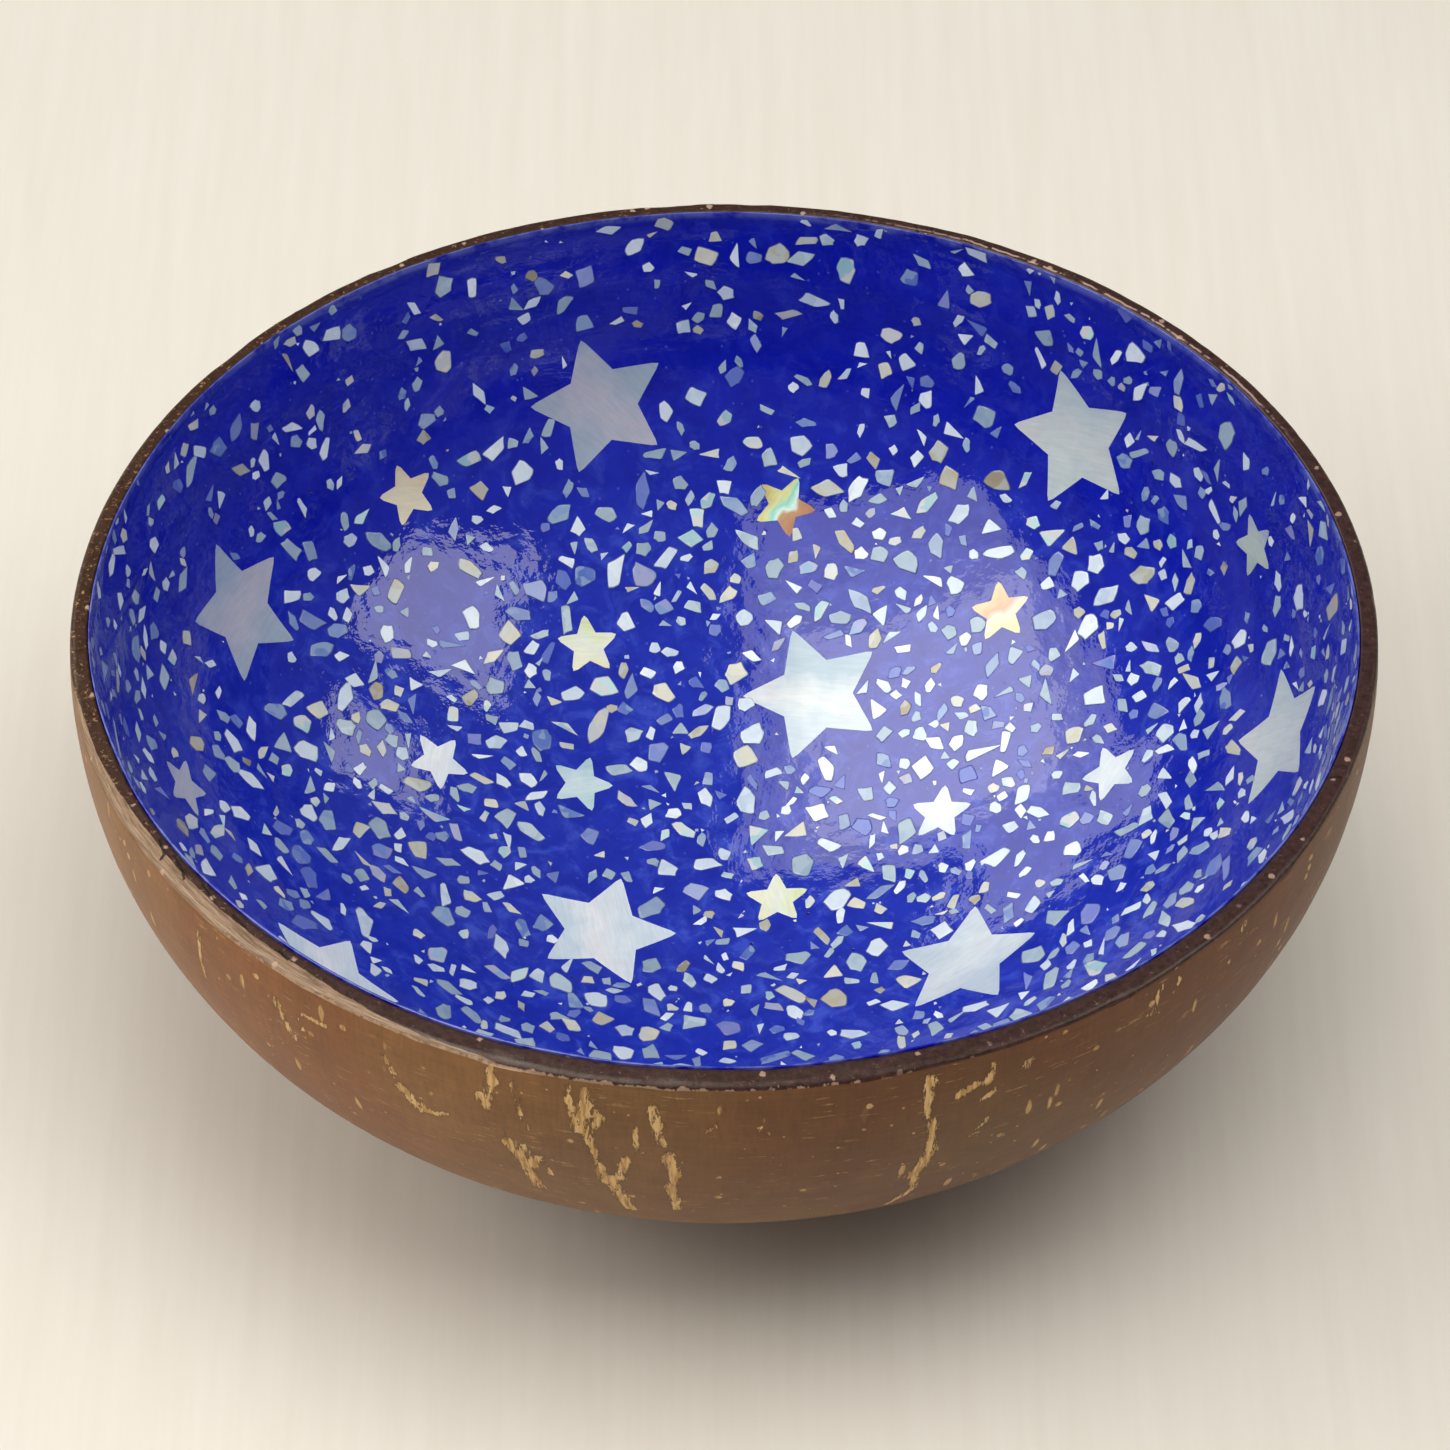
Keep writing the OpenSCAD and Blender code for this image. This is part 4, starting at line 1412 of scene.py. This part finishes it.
# Steps of its section and steps round it
TABLE_STEPS, TABLE_SEGMENTS = (3, 12, 2), 96
SENSOR_WIDTH = 36
# The rim's middle stands a degree above the picture's and a hair to its left
CAMERA_TILT, CAMERA_SIDE = math.radians(0.999), 0.1 * MM


def add_lamp(number, name, use, way, size, shift, strength):
    """A soft box about a metre from the bowl, square to its way."""
    way = Vector(way).normalized()
    along = (Vector((0, 1, 0)) - way * way.y).normalized()
    across = along.cross(way)
    data = bpy.data.lights.new(name, "AREA")
    data.shape = "RECTANGLE"
    data.color = LAMP_TINTS[use]
    data.size, data.size_y = size
    data.energy = math.pi * strength * size[0] * size[1]
    lamp = bpy.data.objects.new(name, data)
    place = way * (1 + LAMP_STEP * number) + across * shift[0] + along * shift[1]
    lamp.matrix_world = Matrix.Translation(place) @ Matrix((across, along, way)).transposed().to_4x4()
    lamp.visible_camera = False
    lamp.visible_glossy = use == "highlight"
    lamp.visible_diffuse = use == "light"
    bpy.context.scene.collection.objects.link(lamp)


def table_finish(stage):
    """A plain pale table."""
    f = Finish("pale_table")
    drift = f.noise(f.scaled(f.place, (0.9, 0.05, 1)), 0.5, 4, 0.6)
    base = f.shaded(stage.table, drift, (0.3, (0.955, 0.95, 0.94)), (0.7, 1.0))
    return f.surface(Base_Color=base, Roughness=0.7, Specular_IOR_Level=0.25)


class BOWL_OT_set_stage(bpy.types.Operator):
    """Sets the table with its curved backdrop, the soft boxes and the camera"""
    bl_idname = "bowl.set_stage"
    bl_label = "Table, lamps and camera"
    bl_options = {"REGISTER", "UNDO"}

    def execute(self, context):
        scene = context.scene
        stage = scene.bowl_stage
        bm = bmesh.new()
        flat, curve, upright = TABLE_STEPS
        vert = reach(bm, bm.verts.new((0, 0, 0)), TABLE_OUT, 0, flat)
        vert = swing(bm, vert, (TABLE_OUT, BACKDROP_ROUND), math.pi / 2, curve)
        reach(bm, vert, BACKDROP_OUT, BACKDROP_TOP, upright)
        turn_section(bm, TABLE_SEGMENTS)
        bmesh.ops.reverse_faces(bm, faces=[f for f in bm.faces if f.normal.z < 0])
        mesh = bpy.data.meshes.new("table")
        bm.to_mesh(mesh)
        bm.free()
        mesh.shade_smooth()
        mesh.materials.append(table_finish(stage))
        table = bpy.data.objects.new("table", mesh)
        scene.collection.objects.link(table)

        world = bpy.data.worlds.new("room")
        world.use_nodes = True
        room = world.node_tree.nodes["Background"]
        room.inputs["Color"].default_value = (1, 1, 1, 1)
        room.inputs["Strength"].default_value = stage.sky_strength
        scene.world = world
        for number, (name, (*row, brightness)) in enumerate(LAMPS.items()):
            add_lamp(number, name, *row, brightness * stage.lamp_strength)

        data = bpy.data.cameras.new("camera")
        data.lens, data.sensor_width = stage.lens, SENSOR_WIDTH
        camera = bpy.data.objects.new("camera", data)
        height, distance = stage.camera_height, stage.camera_distance
        camera.location = (CAMERA_SIDE, -distance * math.cos(height),
                           CAD_HIGH.z + distance * math.sin(height))
        camera.rotation_euler = (math.pi / 2 - height - CAMERA_TILT, 0, 0)
        scene.collection.objects.link(camera)
        scene.camera = camera
        scene.view_settings.view_transform = "Standard"
        return {"FINISHED"}


# ---- panel and registration ----

STEPS = (BOWL_OT_add_shell, BOWL_OT_add_lining, BOWL_OT_add_stars, BOWL_OT_add_chips, BOWL_OT_set_stage)
SETTINGS = {"bowl_shape": BowlShapeSettings, "bowl_shell": BowlShellSettings,
            "bowl_lacquer": BowlLacquerSettings, "bowl_inlay": BowlInlaySettings,
            "bowl_stage": BowlStageSettings}


class BOWL_PT_pieces(bpy.types.Panel):
    """The bowl's pieces and their settings"""
    bl_idname = "BOWL_PT_pieces"
    bl_label = "Coconut Shell Bowl"
    bl_space_type = "VIEW_3D"
    bl_region_type = "UI"
    bl_category = "Bowl"

    def draw(self, context):
        for step in STEPS:
            self.layout.operator(step.bl_idname)
        for name, group in SETTINGS.items():
            box = self.layout.box()
            box.label(text=group.__doc__)
            for key in group.__annotations__:
                box.prop(getattr(context.scene, name), key)


def register():
    for group in (*SETTINGS.values(), *STEPS, BOWL_PT_pieces):
        bpy.utils.register_class(group)
    for name, group in SETTINGS.items():
        setattr(bpy.types.Scene, name, PointerProperty(type=group))


def unregister():
    for name in SETTINGS:
        delattr(bpy.types.Scene, name)
    for group in (BOWL_PT_pieces, *STEPS, *SETTINGS.values()):
        bpy.utils.unregister_class(group)


def main():
    register()
    bpy.ops.bowl.add_shell()
    bpy.ops.bowl.add_lining()
    bpy.ops.bowl.add_stars()
    bpy.ops.bowl.add_chips()
    bpy.ops.bowl.set_stage()


if __name__ == "__main__":
    main()
